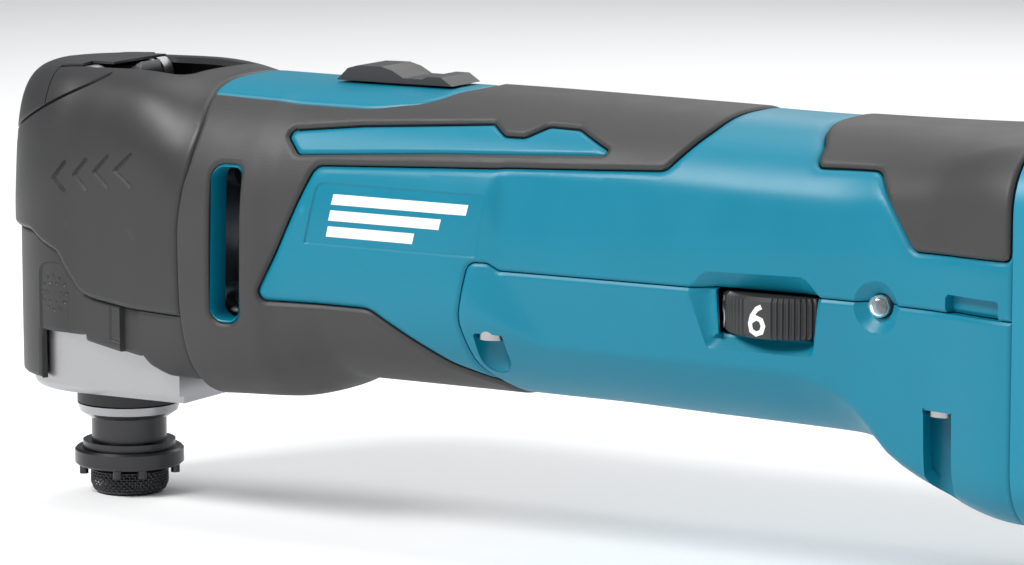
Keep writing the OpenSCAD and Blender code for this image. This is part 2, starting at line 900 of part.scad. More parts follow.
module pack_rear_case() {
    wall_t = 2;
    color([0.1, 0.1, 0.11]) difference() {
        intersection() {
            pack_form(0);
            box([290, -60, -20], [320, 60, 120]);
        }
        intersection() {
            pack_form(wall_t);
            box([289, -60, -20], [320, 60, 120]);
        }
    }
}

module pack_cells() {
    color("mediumseagreen") for (x = [282, 301], i = [0:4])
        translate([x, -32.5, 8 + 18.6 * i]) rotate([-90, 0, 0]) cylinder(h = 65, r = 9.1);
}

module pack_terminals() {
    color("goldenrod") for (y = [-12, 12], s = [-1, 1])
        box([262, y + s * 0.8 - 0.15, 31], [266.8, y + s * 0.8 + 0.15, 52]);
}

module pack_button() {
    color([0.55, 0.08, 0.08]) {
        box([260.4, -10, -2], [265, 10, 8]);
        box([262, -5.4, 7.9], [265, 5.4, 25]);
    }
}

module pack_button_spring() {
    color("silver") translate([265.1, 0, 3]) rotate([0, 90, 0]) coil_spring(2.4, 0.4, 6.8, 4, 6, 10);
}

// ---------- assembly ----------

spindle();
swing_fork();
clamp_jaws();
spindle_collar();
holder_bolt();
clamp_rod();
clamp_spring();
clamp_lever();
lever_cam();
lever_pin();
gear_housing();
bearing_box();
lower_spindle_bearing();
upper_spindle_bearing();
bearing_retainer();
spindle_seal();
head_cover();
front_shroud();
head_screws();
motor_bracket();
front_motor_bearing();
rear_motor_bearing();
armature();
commutator();
cooling_fan();
crank();
crank_bearing();
field_can();
field_magnets();
motor_end_bracket();
brush_holders();
carbon_brushes();
brush_springs();
baffle_ring();
upper_housing();
front_grip();
rear_grip();
switch_plate();
switch_knob();
switch_rod();
switch_unit();
controller();
dial();
dial_board();
indicator_lens();
lower_cover();
cover_screws();
lamp_lens();
lamp_board();
battery_mount();
terminal_block();
terminal_blades();
lead_wires();
pack_front_case();
pack_rear_case();
pack_cells();
pack_terminals();
pack_button();
pack_button_spring();
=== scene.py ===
"""Looks of a cordless oscillating multi-tool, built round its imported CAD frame."""
import json
import math

import bpy
import numpy as np
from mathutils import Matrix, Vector


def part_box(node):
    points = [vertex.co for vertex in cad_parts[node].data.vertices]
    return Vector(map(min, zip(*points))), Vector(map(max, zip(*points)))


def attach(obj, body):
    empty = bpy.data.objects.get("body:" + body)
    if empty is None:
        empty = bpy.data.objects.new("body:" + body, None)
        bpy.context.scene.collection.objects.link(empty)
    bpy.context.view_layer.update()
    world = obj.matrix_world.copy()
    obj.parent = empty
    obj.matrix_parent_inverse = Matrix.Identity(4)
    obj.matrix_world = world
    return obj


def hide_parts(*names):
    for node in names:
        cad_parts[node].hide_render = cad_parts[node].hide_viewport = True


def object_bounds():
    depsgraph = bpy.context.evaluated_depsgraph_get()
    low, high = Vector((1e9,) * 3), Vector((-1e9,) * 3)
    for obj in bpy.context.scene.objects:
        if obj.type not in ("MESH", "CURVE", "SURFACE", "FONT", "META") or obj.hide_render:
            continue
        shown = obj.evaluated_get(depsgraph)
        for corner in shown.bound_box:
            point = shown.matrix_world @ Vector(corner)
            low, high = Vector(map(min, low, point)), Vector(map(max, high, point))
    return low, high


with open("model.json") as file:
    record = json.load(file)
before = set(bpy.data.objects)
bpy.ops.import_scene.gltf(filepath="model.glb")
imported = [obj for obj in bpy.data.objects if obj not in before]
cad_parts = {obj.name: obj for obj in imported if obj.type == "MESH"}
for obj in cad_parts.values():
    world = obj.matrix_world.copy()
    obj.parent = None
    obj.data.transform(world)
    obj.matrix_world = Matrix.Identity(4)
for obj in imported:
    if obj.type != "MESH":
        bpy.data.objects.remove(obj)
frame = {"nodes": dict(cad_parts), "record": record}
cad_low, cad_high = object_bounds()

MM = 0.001
NOSE_R = 26.6        # nose of the head about the spindle axis
SEAM_Z = 59.8        # seam between upper housing and lower cover
FLANGE_X = 250.0     # front face of the battery mount
GAP = 0.15           # half of the gap between neighbouring mouldings
RINGS = (0.15, 0.4, 0.75, 1.2)   # edge loops on each side of a gap
PANEL_BEVEL = 1.9    # width of the sloped border of a coloured panel


# ---------- small maths ----------

def curve(*knots):
    """Smooth curve through (x, value) knots that never overshoots and is flat beyond its ends."""
    xs, ys = np.array(knots, float).T
    step = np.diff(xs)
    slope = np.diff(ys) / step
    tangent = np.zeros(len(xs))
    bend = slope[:-1] * slope[1:] > 0
    w1, w2 = 2 * step[1:] + step[:-1], step[1:] + 2 * step[:-1]
    safe = np.where(slope == 0, 1, slope)
    tangent[1:-1] = np.where(bend, (w1 + w2) / (w1 / safe[:-1] + w2 / safe[1:]), 0)

    def at(x):
        x = np.clip(x, xs[0], xs[-1])
        i = np.clip(np.searchsorted(xs, x) - 1, 0, len(xs) - 2)
        t = (x - xs[i]) / step[i]
        return ((1 + 2 * t) * (1 - t) ** 2 * ys[i] + t * (1 - t) ** 2 * step[i] * tangent[i]
                + t * t * (3 - 2 * t) * ys[i + 1] + t * t * (t - 1) * step[i] * tangent[i + 1])
    return at


def ramp(x, low, high):
    """Smooth step from 0 at low to 1 at high."""
    t = np.clip((x - low) / (high - low), 0, 1)
    return t * t * (3 - 2 * t)


def smooth_max(a, b, radius):
    return np.maximum(a, b) + np.maximum(radius - np.abs(a - b), 0) ** 2 / (4 * radius)


def soft_positive(x, radius):
    """max(x, 0) with its corner rounded."""
    return (x + np.sqrt(x * x + radius * radius)) / 2


# ---------- outer form of head, barrel and tail ----------

half_width = curve((0, 26.6), (12, 28.2), (25, 30.6), (38, 32.6), (46, 33), (56, 33),
                   (63, 31.7), (74, 31.6), (100, 32.2), (118, 32.6), (150, 32.4), (250, 32.4))
top_height = curve((-27, 98.6), (14, 98.8), (28, 98), (38, 97), (102, 96.8), (156, 96), (192, 95.4),
                   (250, 95.4))
under_height = curve((8, -60), (20, -10), (32, 18), (38, 22.4), (57, 23), (64, 24.4), (68, 26.2),
                     (75, 28.6), (105, 28.6), (140, 28.5), (164, 27.9), (190, 27.3), (209, 26.6),
                     (216, 24), (224, 21), (232, 18.5), (240, 15.5), (250, 14.5))
crease_height = curve((110, 45.2), (192, 44.8), (200, 43.2), (207, 39.8), (212, 35.3), (216, 31.5),
                      (224, 28), (240, 24), (250, 22))
upper_power = curve((-5, 5.5), (20, 4.8), (38, 3), (60, 2.8), (250, 2.8))
lower_power = curve((30, 3.6), (58, 3), (75, 2.5), (120, 2.5))
FLANK = 30.9         # half width of the flattened sides behind the motor
FLANK_TURN = 0.16    # slope of the facet in front of them
LEAN = 0.12          # inward lean of the sides above them
UNDERCUT = 0.06      # and below the seam


def share_of_handle(x):
    """How far the barrel's round front has turned into the handle."""
    return ramp(x, 108, 134)


def form(p):
    """Signed measure of the outer form, in about millimetres: below zero inside."""
    x, y, z = p[:, 0], np.abs(p[:, 1]), p[:, 2]
    half = half_width(x)
    reach = np.where(x < 0, np.hypot(np.minimum(x, 0), y) / NOSE_R, y / half)
    above = z > SEAM_Z
    rise = np.where(above, (z - SEAM_Z) / (top_height(x) - SEAM_Z),
                    (SEAM_Z - z) / (SEAM_Z - under_height(x)))
    power = np.where(above, upper_power(x), lower_power(x))
    round_form = 30 * ((reach ** power + rise ** power) ** (1 / power) - 1)

    front_edge = 121.8 + 0.8 * np.maximum(59.5 - z, 0)
    turn = FLANK_TURN * soft_positive(front_edge - x, 0.8)
    crease_top = 66.5 + 0.05 * (x - 122)
    flank = y - FLANK - turn + UNDERCUT * np.maximum(60 - z, 0) * share_of_handle(x)
    lean = y - FLANK - 3 * turn + LEAN * (z - crease_top)
    side = smooth_max(smooth_max(flank, lean, 0.35), y - half, 1)
    under = under_height(x)
    belly = 0.75 * (under + (crease_height(x) - under) * (y / FLANK) ** 3 - z)
    handle = np.where(above, round_form, -30)
    handle = smooth_max(handle, belly, 1.2)
    share = share_of_handle(x)
    barrel = (1 - share) * round_form + share * handle
    body = smooth_max(barrel, side, 0.6)

    flare = ramp(x, 202, 250) * 0.6 + ramp(x, 226, 251) * 0.4
    corner = np.hypot(np.maximum(y - 26, 0), np.maximum(np.abs(z - 55) - 26.5, 0)) - 14
    inner = np.maximum(y - 26, np.abs(z - 55) - 26.5) - 14
    flange = np.where((y > 26) | (np.abs(z - 55) > 26.5), corner, inner)
    return (1 - flare) * body + flare * flange


def normals(p):
    """Unit outward normals of the form at points on it."""
    grad = np.empty_like(p)
    for axis in range(3):
        step = np.zeros(3)
        step[axis] = 0.15
        grad[:, axis] = form(p + step) - form(p - step)
    return grad / np.maximum(np.linalg.norm(grad, axis=1, keepdims=True), 1e-9)


def cast(origin, aim):
    """Where rays from inside meet the form."""
    near, far = np.zeros(len(origin)), np.full(len(origin), 75.0)
    for _ in range(30):
        mid = (near + far) / 2
        inside = form(origin + aim * mid[:, None]) < 0
        near, far = np.where(inside, mid, near), np.where(inside, far, mid)
    return origin + aim * near[:, None]


def side_point(x, z, side=-1):
    """Points of the form at side-view places (x, z)."""
    x, z = np.broadcast_arrays(np.asarray(x, float), np.asarray(z, float))
    origin = np.stack([x.ravel(), np.zeros(x.size), z.ravel()], axis=1)
    aim = np.tile([0.0, side, 0.0], (x.size, 1))
    return cast(origin, aim)


# ---------- outlines ----------

def rounded(corners, arc_steps=6):
    """Closed outline through (u, v, radius) corners, each rounded by an arc."""
    corners = [(c[0], c[1], c[2] if len(c) > 2 else 0) for c in corners]
    out = []
    for i, (u, v, r) in enumerate(corners):
        here = np.array([u, v])
        back = np.array(corners[i - 1][:2]) - here
        ahead = np.array(corners[(i + 1) % len(corners)][:2]) - here
        if r == 0:
            out.append(here)
            continue
        back, ahead = back / np.linalg.norm(back), ahead / np.linalg.norm(ahead)
        half = math.acos(np.clip(back @ ahead, -1, 1)) / 2
        reach = r / math.tan(half)
        centre = here + (back + ahead) / np.linalg.norm(back + ahead) * r / math.sin(half)
        a, b = here + back * reach - centre, here + ahead * reach - centre
        for t in np.linspace(0, 1, arc_steps + 1):
            d = a * (1 - t) + b * t
            out.append(centre + d / np.linalg.norm(d) * r)
    return np.array(out)


def nearest(q, a, b):
    """Distance from points q to segments a-b, and the unit direction away from the nearest one."""
    best = np.full(len(q), 1e9)
    away = np.zeros_like(q)
    for start, end in zip(a, b):
        along = end - start
        t = np.clip((q - start) @ along / max(along @ along, 1e-12), 0, 1)
        gap = q - start - t[:, None] * along
        d = np.hypot(gap[:, 0], gap[:, 1])
        closer = d < best
        best = np.where(closer, d, best)
        away[closer] = gap[closer] / np.maximum(d[closer], 1e-9)[:, None]
    return best, away


def within(q, loop):
    """Whether points q lie inside a closed loop."""
    inside = np.zeros(len(q), bool)
    for (u0, v0), (u1, v1) in zip(loop, np.roll(loop, -1, axis=0)):
        if v0 == v1:
            continue
        hit = (v0 > q[:, 1]) != (v1 > q[:, 1])
        inside ^= hit & (q[:, 0] < u0 + (q[:, 1] - v0) * (u1 - u0) / (v1 - v0))
    return inside


def on_surface(d, away, axes, n):
    """A distance in a flat view, corrected for how the surface leans away from that view."""
    lean = np.abs(away[:, 0] * n[:, axes[0]] + away[:, 1] * n[:, axes[1]])
    return d / np.sqrt(np.maximum(1 - lean ** 2, 0.04))


def outline(corners, plan=False, only_side=0, arc_steps=6):
    """Distance field of an outline in the side view, or in plan: below zero inside."""
    loop = rounded(corners, arc_steps)
    axes = (0, 1) if plan else (0, 2)

    def field(p, n):
        q = p[:, axes].copy()
        m = n.copy()
        if plan:
            m[:, 1] *= np.where(q[:, 1] < 0, -1, 1)
            q[:, 1] = np.abs(q[:, 1])
        d, away = nearest(q, loop, np.roll(loop, -1, axis=0))
        d = on_surface(d, away, axes, m)
        d = np.where(within(q, loop), -d, d)
        if only_side:
            d = np.where(p[:, 1] * only_side > 0, d, 99.0)
        return d
    return field


def strokes(lines, half_thick=0.0):
    """Distance field of thin strokes drawn in the side view."""
    a = np.array([s for line in lines for s in line[:-1]], float)
    b = np.array([s for line in lines for s in line[1:]], float)

    def field(p, n):
        d, away = nearest(p[:, (0, 2)], a, b)
        return on_surface(d, away, (0, 2), n) - half_thick
    return field


def behind(edge):
    """Distance field of everything behind a front edge that is x as a curve of z."""
    return lambda p, n: edge(p[:, 2]) - p[:, 0]


def both(*fields):
    """Where all fields overlap."""
    return lambda p, n: np.maximum.reduce([f(p, n) for f in fields])


def either(*fields):
    return lambda p, n: np.minimum.reduce([f(p, n) for f in fields])


def outside(field):
    return lambda p, n: -field(p, n)


# ---------- a skin that can be cut along fields ----------

class Skin:
    """Triangles on the form. Each corner is a ray from inside, so that new corners stay on the form."""

    def __init__(self, origin, aim, faces):
        self.origin = origin
        self.aim = aim / np.linalg.norm(aim, axis=1, keepdims=True)
        self.faces = faces
        self.points = cast(self.origin, self.aim)
        self.normals = normals(self.points)

    def add(self, origin, aim, points, slopes):
        """Takes in new corners."""
        self.origin = np.concatenate([self.origin, origin])
        self.aim = np.concatenate([self.aim, aim])
        self.points = np.concatenate([self.points, points])
        self.normals = np.concatenate([self.normals, slopes])

    def cut(self, field, *levels):
        """Adds edges where the field has the given values."""
        values = field(self.points, self.normals)
        for level in levels:
            values = self.split(field, level, values)

    def split(self, field, level, values):
        s = values - level
        s[np.abs(s) < 0.02] = 0
        f = self.faces
        count = len(s)
        pairs = np.sort(np.concatenate([f[:, (0, 1)], f[:, (1, 2)], f[:, (2, 0)]]), axis=1)
        pairs = pairs[s[pairs[:, 0]] * s[pairs[:, 1]] < 0]
        if not len(pairs):
            return values
        keys = np.unique(pairs[:, 0] * count + pairs[:, 1])
        i, j = keys // count, keys % count
        near, far, s_near, s_far = np.zeros(len(i)), np.ones(len(i)), s[i].copy(), s[j].copy()
        for _ in range(4):
            t = near + (far - near) * s_near / (s_near - s_far)
            origin = self.origin[i] + (self.origin[j] - self.origin[i]) * t[:, None]
            aim = self.aim[i] + (self.aim[j] - self.aim[i]) * t[:, None]
            aim /= np.linalg.norm(aim, axis=1, keepdims=True)
            points = cast(origin, aim)
            slopes = normals(points)
            got = field(points, slopes) - level
            same = got * s_near > 0
            near, s_near = np.where(same, t, near), np.where(same, got, s_near)
            far, s_far = np.where(same, far, t), np.where(same, s_far, got)
            s_near = np.where(s_near == s_far, s_near + 1e-9, s_near)
        self.add(origin, aim, points, slopes)

        def new(a, b):
            """The new corner between old corners a and b."""
            return count + np.searchsorted(keys, np.minimum(a, b) * count + np.maximum(a, b))

        sign = np.sign(s)[f]
        mixed = (sign.max(1) > 0) & (sign.min(1) < 0)
        whole, parts = f[~mixed], []
        for turn in range(3):
            a, b, c = (f[:, (turn + k) % 3] for k in range(3))
            sa, sb, sc = (sign[:, (turn + k) % 3] for k in range(3))
            through = mixed & (sa == 0)
            m = new(b[through], c[through])
            parts += [np.stack([a[through], b[through], m], 1), np.stack([a[through], m, c[through]], 1)]
            lone = mixed & (sb == sc) & (sb != 0)
            a, b, c = a[lone], b[lone], c[lone]
            m, k = new(a, b), new(a, c)
            parts += [np.stack([a, m, k], 1), np.stack([m, b, c], 1), np.stack([m, c, k], 1)]
        self.faces = np.concatenate([whole, *parts])
        return np.concatenate([values, np.full(len(keys), float(level))])

    def refine(self, field, limit, size):
        """Halves the edges longer than size that lie where the field is below limit."""
        for _ in range(3):
            f = self.faces
            count = len(self.points)
            near = field(self.points, self.normals) < limit
            edges = np.stack([f, np.roll(f, -1, axis=1)], 2)
            length = np.linalg.norm(self.points[edges[..., 0]] - self.points[edges[..., 1]], axis=2)
            marked = (length > size) & (near[edges[..., 0]] | near[edges[..., 1]])
            if not marked.any():
                return
            key = np.sort(edges, axis=2) @ np.array([count, 1])
            keys = np.unique(key[marked])
            i, j = keys // count, keys % count
            origin, aim = (self.origin[i] + self.origin[j]) / 2, self.aim[i] + self.aim[j]
            aim /= np.linalg.norm(aim, axis=1, keepdims=True)
            points = cast(origin, aim)
            self.add(origin, aim, points, normals(points))
            middle = np.where(marked, count + np.searchsorted(keys, key), -1)
            number = marked.sum(1)
            parts = [f[number == 0]]
            a, b, c = f[number == 3].T
            m, n, o = middle[number == 3].T
            parts += [np.stack(t, 1) for t in ((a, m, o), (m, b, n), (o, n, c), (m, n, o))]
            for turn in range(3):
                order = [turn, (turn + 1) % 3, (turn + 2) % 3]
                one = (number == 1) & marked[:, turn]
                a, b, c = f[one][:, order].T
                m = middle[one][:, turn]
                parts += [np.stack([a, m, c], 1), np.stack([m, b, c], 1)]
                two = (number == 2) & ~marked[:, turn]
                a, b, c = f[two][:, order].T
                n, o = middle[two][:, order[1]], middle[two][:, order[2]]
                parts += [np.stack([o, n, c], 1), np.stack([a, b, n], 1), np.stack([a, n, o], 1)]
            self.faces = np.concatenate(parts)

    def pick(self, region):
        """Faces whose middle lies in a region, at least GAP inside it."""
        middle = self.points[self.faces].mean(1)
        slope = self.normals[self.faces].mean(1)
        slope /= np.linalg.norm(slope, axis=1, keepdims=True)
        return region(middle, slope) < -GAP + 0.01


def lip(region, width=1.05, depth=0.5):
    """Lowers a surface towards the edge of its region, as a rounded edge does."""
    def lower(p, n):
        inside = np.clip((-region(p, n) - GAP) / width, 0, 1)
        return -depth * (1 - inside) ** 2
    return lower


def shell(name, skin, region, lift, thick, material, body="housing", extra=()):
    """A closed moulding: the skin's faces in a region, moved by lift, with a wall of even thickness."""
    faces = skin.faces[skin.pick(region)]
    used, faces = np.unique(faces, return_inverse=True)
    faces = faces.reshape(-1, 3)
    p, n = skin.points[used], skin.normals[used]
    outer = p + n * lift(p, n)[:, None]
    inner = p - n * (thick(p, n)[:, None] if callable(thick) else thick)
    count = len(p)
    directed = np.concatenate([faces[:, (0, 1)], faces[:, (1, 2)], faces[:, (2, 0)]])
    there = directed[:, 0] * count + directed[:, 1]
    back = directed[:, 1] * count + directed[:, 0]
    rim = directed[~np.isin(there, back)]
    a, b = rim[:, 0], rim[:, 1]
    walls = np.concatenate([np.stack([b, a, a + count], 1), np.stack([b, a + count, b + count], 1)])
    corners = np.concatenate([outer, inner])
    triangles = np.concatenate([faces, faces[:, ::-1] + count, walls])
    return solid(name, corners, triangles, material, body, extra)


# ---------- Blender objects ----------

def mesh_object(name, corners, faces, material, body, angle=35):
    """An object from points in millimetres and faces, smooth except at sharp edges."""
    mesh = bpy.data.meshes.new(name)
    mesh.from_pydata((np.asarray(corners) * MM).tolist(), [], [list(map(int, f)) for f in faces])
    mesh.validate()
    mesh.shade_smooth()
    mesh.set_sharp_from_angle(angle=math.radians(angle))
    obj = bpy.data.objects.new(name, mesh)
    bpy.context.scene.collection.objects.link(obj)
    mesh.materials.append(material)
    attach(obj, body)
    return obj


def solid(name, corners, faces, material, body, extra=()):
    """A mesh object, with extra (corners, faces) parts of the same material."""
    corners, faces = [np.asarray(corners, float)], [list(f) for f in faces]
    for more_corners, more_faces in extra:
        base = sum(len(c) for c in corners)
        faces += [[i + base for i in f] for f in more_faces]
        corners.append(np.asarray(more_corners, float))
    return mesh_object(name, np.concatenate(corners), faces, material, body)


def lathe(profile, steps, place=(0, 0, 0), axis=2, radius=None, closed=False):
    """Corners and faces of a turned solid from its (radius, height) profile, which starts and ends
    on the axis, or is a closed loop. radius(turn, r, h) may change the radius locally."""
    turn = np.linspace(0, 2 * math.pi, steps, endpoint=False)
    r, h = np.array(profile, float).T
    if not closed:
        ends = [h[0], h[-1]]
        r, h = r[1:-1], h[1:-1]
    rows = len(r)
    angle, r, h = turn[None, :], np.repeat(r[:, None], steps, 1), np.repeat(h[:, None], steps, 1)
    if radius:
        r = radius(angle + 0 * r, r, h)
    corners = np.stack([r * np.cos(angle), r * np.sin(angle), h], -1).reshape(-1, 3)
    index = np.arange(rows * steps).reshape(rows, steps)
    if closed:
        index = np.concatenate([index, index[:1]])
    ahead = np.roll(index, -1, axis=1)
    faces = list(np.stack([index[:-1], ahead[:-1], ahead[1:], index[1:]], -1).reshape(-1, 4))
    if not closed:
        corners = np.concatenate([corners, [[0, 0, ends[0]], [0, 0, ends[1]]]])
        low, high = rows * steps, rows * steps + 1
        faces += [[low, b, a] for a, b in zip(index[0], ahead[0])]
        faces += [[high, a, b] for a, b in zip(index[-1], ahead[-1])]
    if axis == 1:                    # the height runs along -Y
        corners = corners[:, (0, 2, 1)] * (1, -1, 1)
    return corners + np.array(place), faces


def prism(profile, y0, y1):
    """Corners and faces of a side-view (x, z) outline pushed from y0 to y1, counter-clockwise."""
    count = len(profile)
    corners = [(x, y, z) for y in (y0, y1) for x, z in profile]
    faces = [list(range(count)), list(range(2 * count - 1, count - 1, -1))]
    faces += [[i, i + count, (i + 1) % count + count, (i + 1) % count] for i in range(count)]
    return corners, faces


def grid(rows, columns, wrap, pole=False):
    """Triangles over a grid of corners; the last corner is a pole if there is one."""
    index = np.arange(rows * columns).reshape(rows, columns)
    right = np.roll(index, -1, axis=1) if wrap else index[:, 1:]
    left = index if wrap else index[:, :-1]
    a, b, c, d = left[:-1].ravel(), left[1:].ravel(), right[1:].ravel(), right[:-1].ravel()
    faces = [np.stack([a, b, c], 1), np.stack([a, c, d], 1)]
    if pole:
        tip = np.full(columns, rows * columns)
        faces.append(np.stack([index[-1], tip, np.roll(index[-1], -1)], 1))
    return np.concatenate(faces)


# ---------- materials ----------

def node(tree, kind, links=(), **values):
    """A shader node with its values, and its inputs linked by name."""
    made = tree.nodes.new(kind)
    for key, value in values.items():
        if key in made.inputs:
            made.inputs[key].default_value = value
        else:
            setattr(made, key, value)
    for name, source in links:
        tree.links.new(source, made.inputs[name])
    return made


def finish_of(name, colour, rough, grain=0.02, grain_mm=0.3, metal=0.0, shade=0.08, mottle_mm=14,
              rough_spread=0.08, brushed=None, painted_edge_highlight=0.0, **shader):
    """A procedural finish: mottled colour and gloss, a grain in the bump and a painted highlight that makes
    convex edges paler.
    """
    made = bpy.data.materials.new(name)
    made.use_nodes = True
    tree = made.node_tree
    tree.nodes.clear()
    place = node(tree, "ShaderNodeTexCoord").outputs["Object"]
    grain_place = place
    if brushed:
        stretch = node(tree, "ShaderNodeMapping", [("Vector", place)])
        stretch.inputs["Scale"].default_value = brushed
        grain_place = stretch.outputs["Vector"]
    mottle = node(tree, "ShaderNodeTexNoise", [("Vector", place)], Scale=1000 / mottle_mm, Detail=3.0)
    fine = node(tree, "ShaderNodeTexNoise", [("Vector", grain_place)], Scale=1000 / grain_mm, Detail=2.0)
    tint = node(tree, "ShaderNodeMix", [("Factor", mottle.outputs["Fac"])], data_type="RGBA")
    tint.inputs["A"].default_value = (*[c * (1 - shade) for c in colour], 1)
    tint.inputs["B"].default_value = (*[min(c * (1 + shade), 1) for c in colour], 1)
    paint = tint.outputs["Result"]
    # Painted highlight: convex edges (high pointiness) get a paler colour, up to the given share.
    if painted_edge_highlight:
        edges = node(tree, "ShaderNodeNewGeometry").outputs["Pointiness"]
        pick = node(tree, "ShaderNodeMapRange", [("Value", edges)])
        pick.inputs["From Min"].default_value, pick.inputs["From Max"].default_value = 0.53, 0.62
        pick.inputs["To Max"].default_value = painted_edge_highlight
        pale = node(tree, "ShaderNodeMix", [("Factor", pick.outputs["Result"]), ("A", paint)],
                    data_type="RGBA")
        pale.inputs["B"].default_value = (*[min(c * 1.7 + 0.03, 1) for c in colour], 1)
        paint = pale.outputs["Result"]
    gloss = node(tree, "ShaderNodeMapRange", [("Value", mottle.outputs["Fac"])])
    gloss.inputs["To Min"].default_value = max(rough - rough_spread, 0.03)
    gloss.inputs["To Max"].default_value = min(rough + rough_spread, 1)
    bump = node(tree, "ShaderNodeBump", [("Height", fine.outputs["Fac"])], Distance=grain * MM, Strength=1.0)
    surface = node(tree, "ShaderNodeBsdfPrincipled", [
        ("Base Color", paint), ("Roughness", gloss.outputs["Result"]), ("Normal", bump.outputs["Normal"])],
        Metallic=metal, **shader)
    node(tree, "ShaderNodeOutputMaterial", [("Surface", surface.outputs["BSDF"])])
    return made


TEAL = (0.0, 0.175, 0.265)
FINISHES = {
    "body_plastic": finish_of("body_plastic", TEAL, 0.4, grain=0.012, grain_mm=0.35, shade=0.05, painted_edge_highlight=0.3,
                              **{"Specular IOR Level": 0.35}),
    "trim_plastic": finish_of("trim_plastic", (0.023, 0.023, 0.024), 0.46, grain=0.02, painted_edge_highlight=0.2),
    "grip_rubber": finish_of("grip_rubber", (0.034, 0.033, 0.033), 0.55, grain=0.035, grain_mm=0.4,
                             shade=0.12, mottle_mm=9, painted_edge_highlight=0.15),
    "cast_aluminium": finish_of("cast_aluminium", (0.42, 0.42, 0.43), 0.42, grain=0.03, grain_mm=0.5,
                                metal=1.0, shade=0.05),
    "blackened_steel": finish_of("blackened_steel", (0.06, 0.06, 0.063), 0.32, grain=0.01, grain_mm=0.6,
                                 metal=1.0, brushed=(0.1, 0.1, 1.6)),
    "bright_steel": finish_of("bright_steel", (0.38, 0.38, 0.39), 0.3, grain=0.008, grain_mm=0.5,
                              metal=1.0, brushed=(0.1, 0.1, 1.6)),
    "spring_steel": finish_of("spring_steel", (0.5, 0.5, 0.52), 0.3, metal=1.0, grain=0.005),
    "bearing_steel": finish_of("bearing_steel", (0.72, 0.72, 0.73), 0.15, metal=1.0, grain=0.003),
    "seal_rubber": finish_of("seal_rubber", (0.016, 0.016, 0.017), 0.5, grain=0.01),
    "copper_winding": finish_of("copper_winding", (0.5, 0.2, 0.08), 0.35, metal=1.0, grain=0.12, grain_mm=0.7,
                                brushed=(0.15, 1, 1)),
    "brass_contact": finish_of("brass_contact", (0.7, 0.48, 0.2), 0.3, metal=1.0, grain=0.01),
    "magnet": finish_of("magnet", (0.09, 0.09, 0.1), 0.55, metal=0.6, grain=0.05),
    "carbon": finish_of("carbon", (0.04, 0.04, 0.045), 0.6, grain=0.05),
    "inner_plastic": finish_of("inner_plastic", (0.03, 0.03, 0.03), 0.5),
    "pale_plastic": finish_of("pale_plastic", (0.7, 0.68, 0.6), 0.45),
    "circuit_board": finish_of("circuit_board", (0.01, 0.09, 0.03), 0.4, grain=0.01),
    "potting": finish_of("potting", (0.02, 0.02, 0.022), 0.25),
    "clear_lens": finish_of("clear_lens", (0.86, 0.9, 0.9), 0.08, grain=0.001, **{
        "Transmission Weight": 0.85, "IOR": 1.49}),
    "cell_wrap": finish_of("cell_wrap", (0.05, 0.32, 0.12), 0.3),
    "pack_plastic": finish_of("pack_plastic", (0.03, 0.03, 0.032), 0.48, grain=0.025, grain_mm=0.35,
                              painted_edge_highlight=0.2),
    "release_plastic": finish_of("release_plastic", (0.3, 0.012, 0.012), 0.4),
    "lead_insulation": finish_of("lead_insulation", (0.25, 0.02, 0.02), 0.4),
    "print_white": finish_of("print_white", (0.8, 0.8, 0.78), 0.5, grain=0.004),
}


EASED = {"switch_knob": 0.8, "pack_front_case": 0.9, "pack_rear_case": 1.2, "battery_mount": 0.6,
         "bearing_box": 0.5, "pack_button": 0.5}      # edge widths in millimetres


def paint_cad_nodes():
    """Gives each CAD node its slot's finish and eases its edges."""
    slots = {s["node"]: s["material_slot"] for s in frame["record"]["subparts"]}
    for name, obj in frame["nodes"].items():
        obj.data.materials.clear()
        obj.data.materials.append(FINISHES[slots[name]])
        if slots[name] == "spring_steel":
            obj.data.shade_smooth()
            continue
        ease = obj.modifiers.new("eased_edges", "BEVEL")
        ease.width, ease.segments, ease.limit_method = EASED.get(name, 0.25) * MM, 2, "ANGLE"
        ease.angle_limit = math.radians(40)
        ease.use_clamp_overlap = True
        obj.data.shade_smooth()
        obj.data.set_sharp_from_angle(angle=math.radians(30))


# ---------- where the mouldings meet ----------

head_seam = curve((22, 38), (35, 37), (50, 36.2), (62, 36), (72, 37.3), (80, 39.4), (87, 40.3),
                  (93, 39), (98, 37.6))
behind_head = behind(head_seam)


def before_flange(p, n):
    return p[:, 0] - FLANGE_X


lower_cover = outline([(114, 61.4, 2.4), (110.9, 48, 10), (113, 37, 7), (118.2, 30.5, 6), (118.2, -8),
                       (290, -8), (290, SEAM_Z), (121.5, SEAM_Z, 2), (118.7, 61.4, 2)])
side_panel = outline([(72.4, 80.4, 3.2), (57.3, 48.4, 2.2), (87, 48.4, 6), (96.5, 42.4, 12),
                      (106, 36.6, 12), (126, 29, 5), (126, 20), (290, 20), (290, 112), (169.5, 112),
                      (169.3, 94, 5), (161.6, 84.8, 3), (104, 82)])
slim_panel = outline([(62.2, 87.6, 1.3), (67.2, 82.5, 1.3), (104, 85), (145.8, 87, 0.7), (146.6, 88, 0.7),
                      (137, 91.9, 5), (129.2, 92.1, 3), (124.4, 89.6, 2), (119.4, 89.6, 2),
                      (115.2, 91.9, 1.6), (82, 89.7)])
rear_patch = outline([(191.5, 112), (193.5, 95, 2), (196.8, 91.5, 2), (197.3, 87.6, 1.6), (213, 88, 3),
                      (224, 71.9, 3), (249.3, 72.4, 1.6), (249.3, 112)])
plate_area = outline([(20, -9), (20, 19.8), (82, 19.8, 25), (96.5, 16.5, 8), (101, 4, 6), (101, -9)],
                     plan=True)
plate_top = both(plate_area, lambda p, n: 80 - p[:, 2])
vent = outline([(45.6, 79.4, 3.4), (45.2, 42.4, 3.4), (53.2, 42.4, 3.4), (53.8, 79.4, 2)])
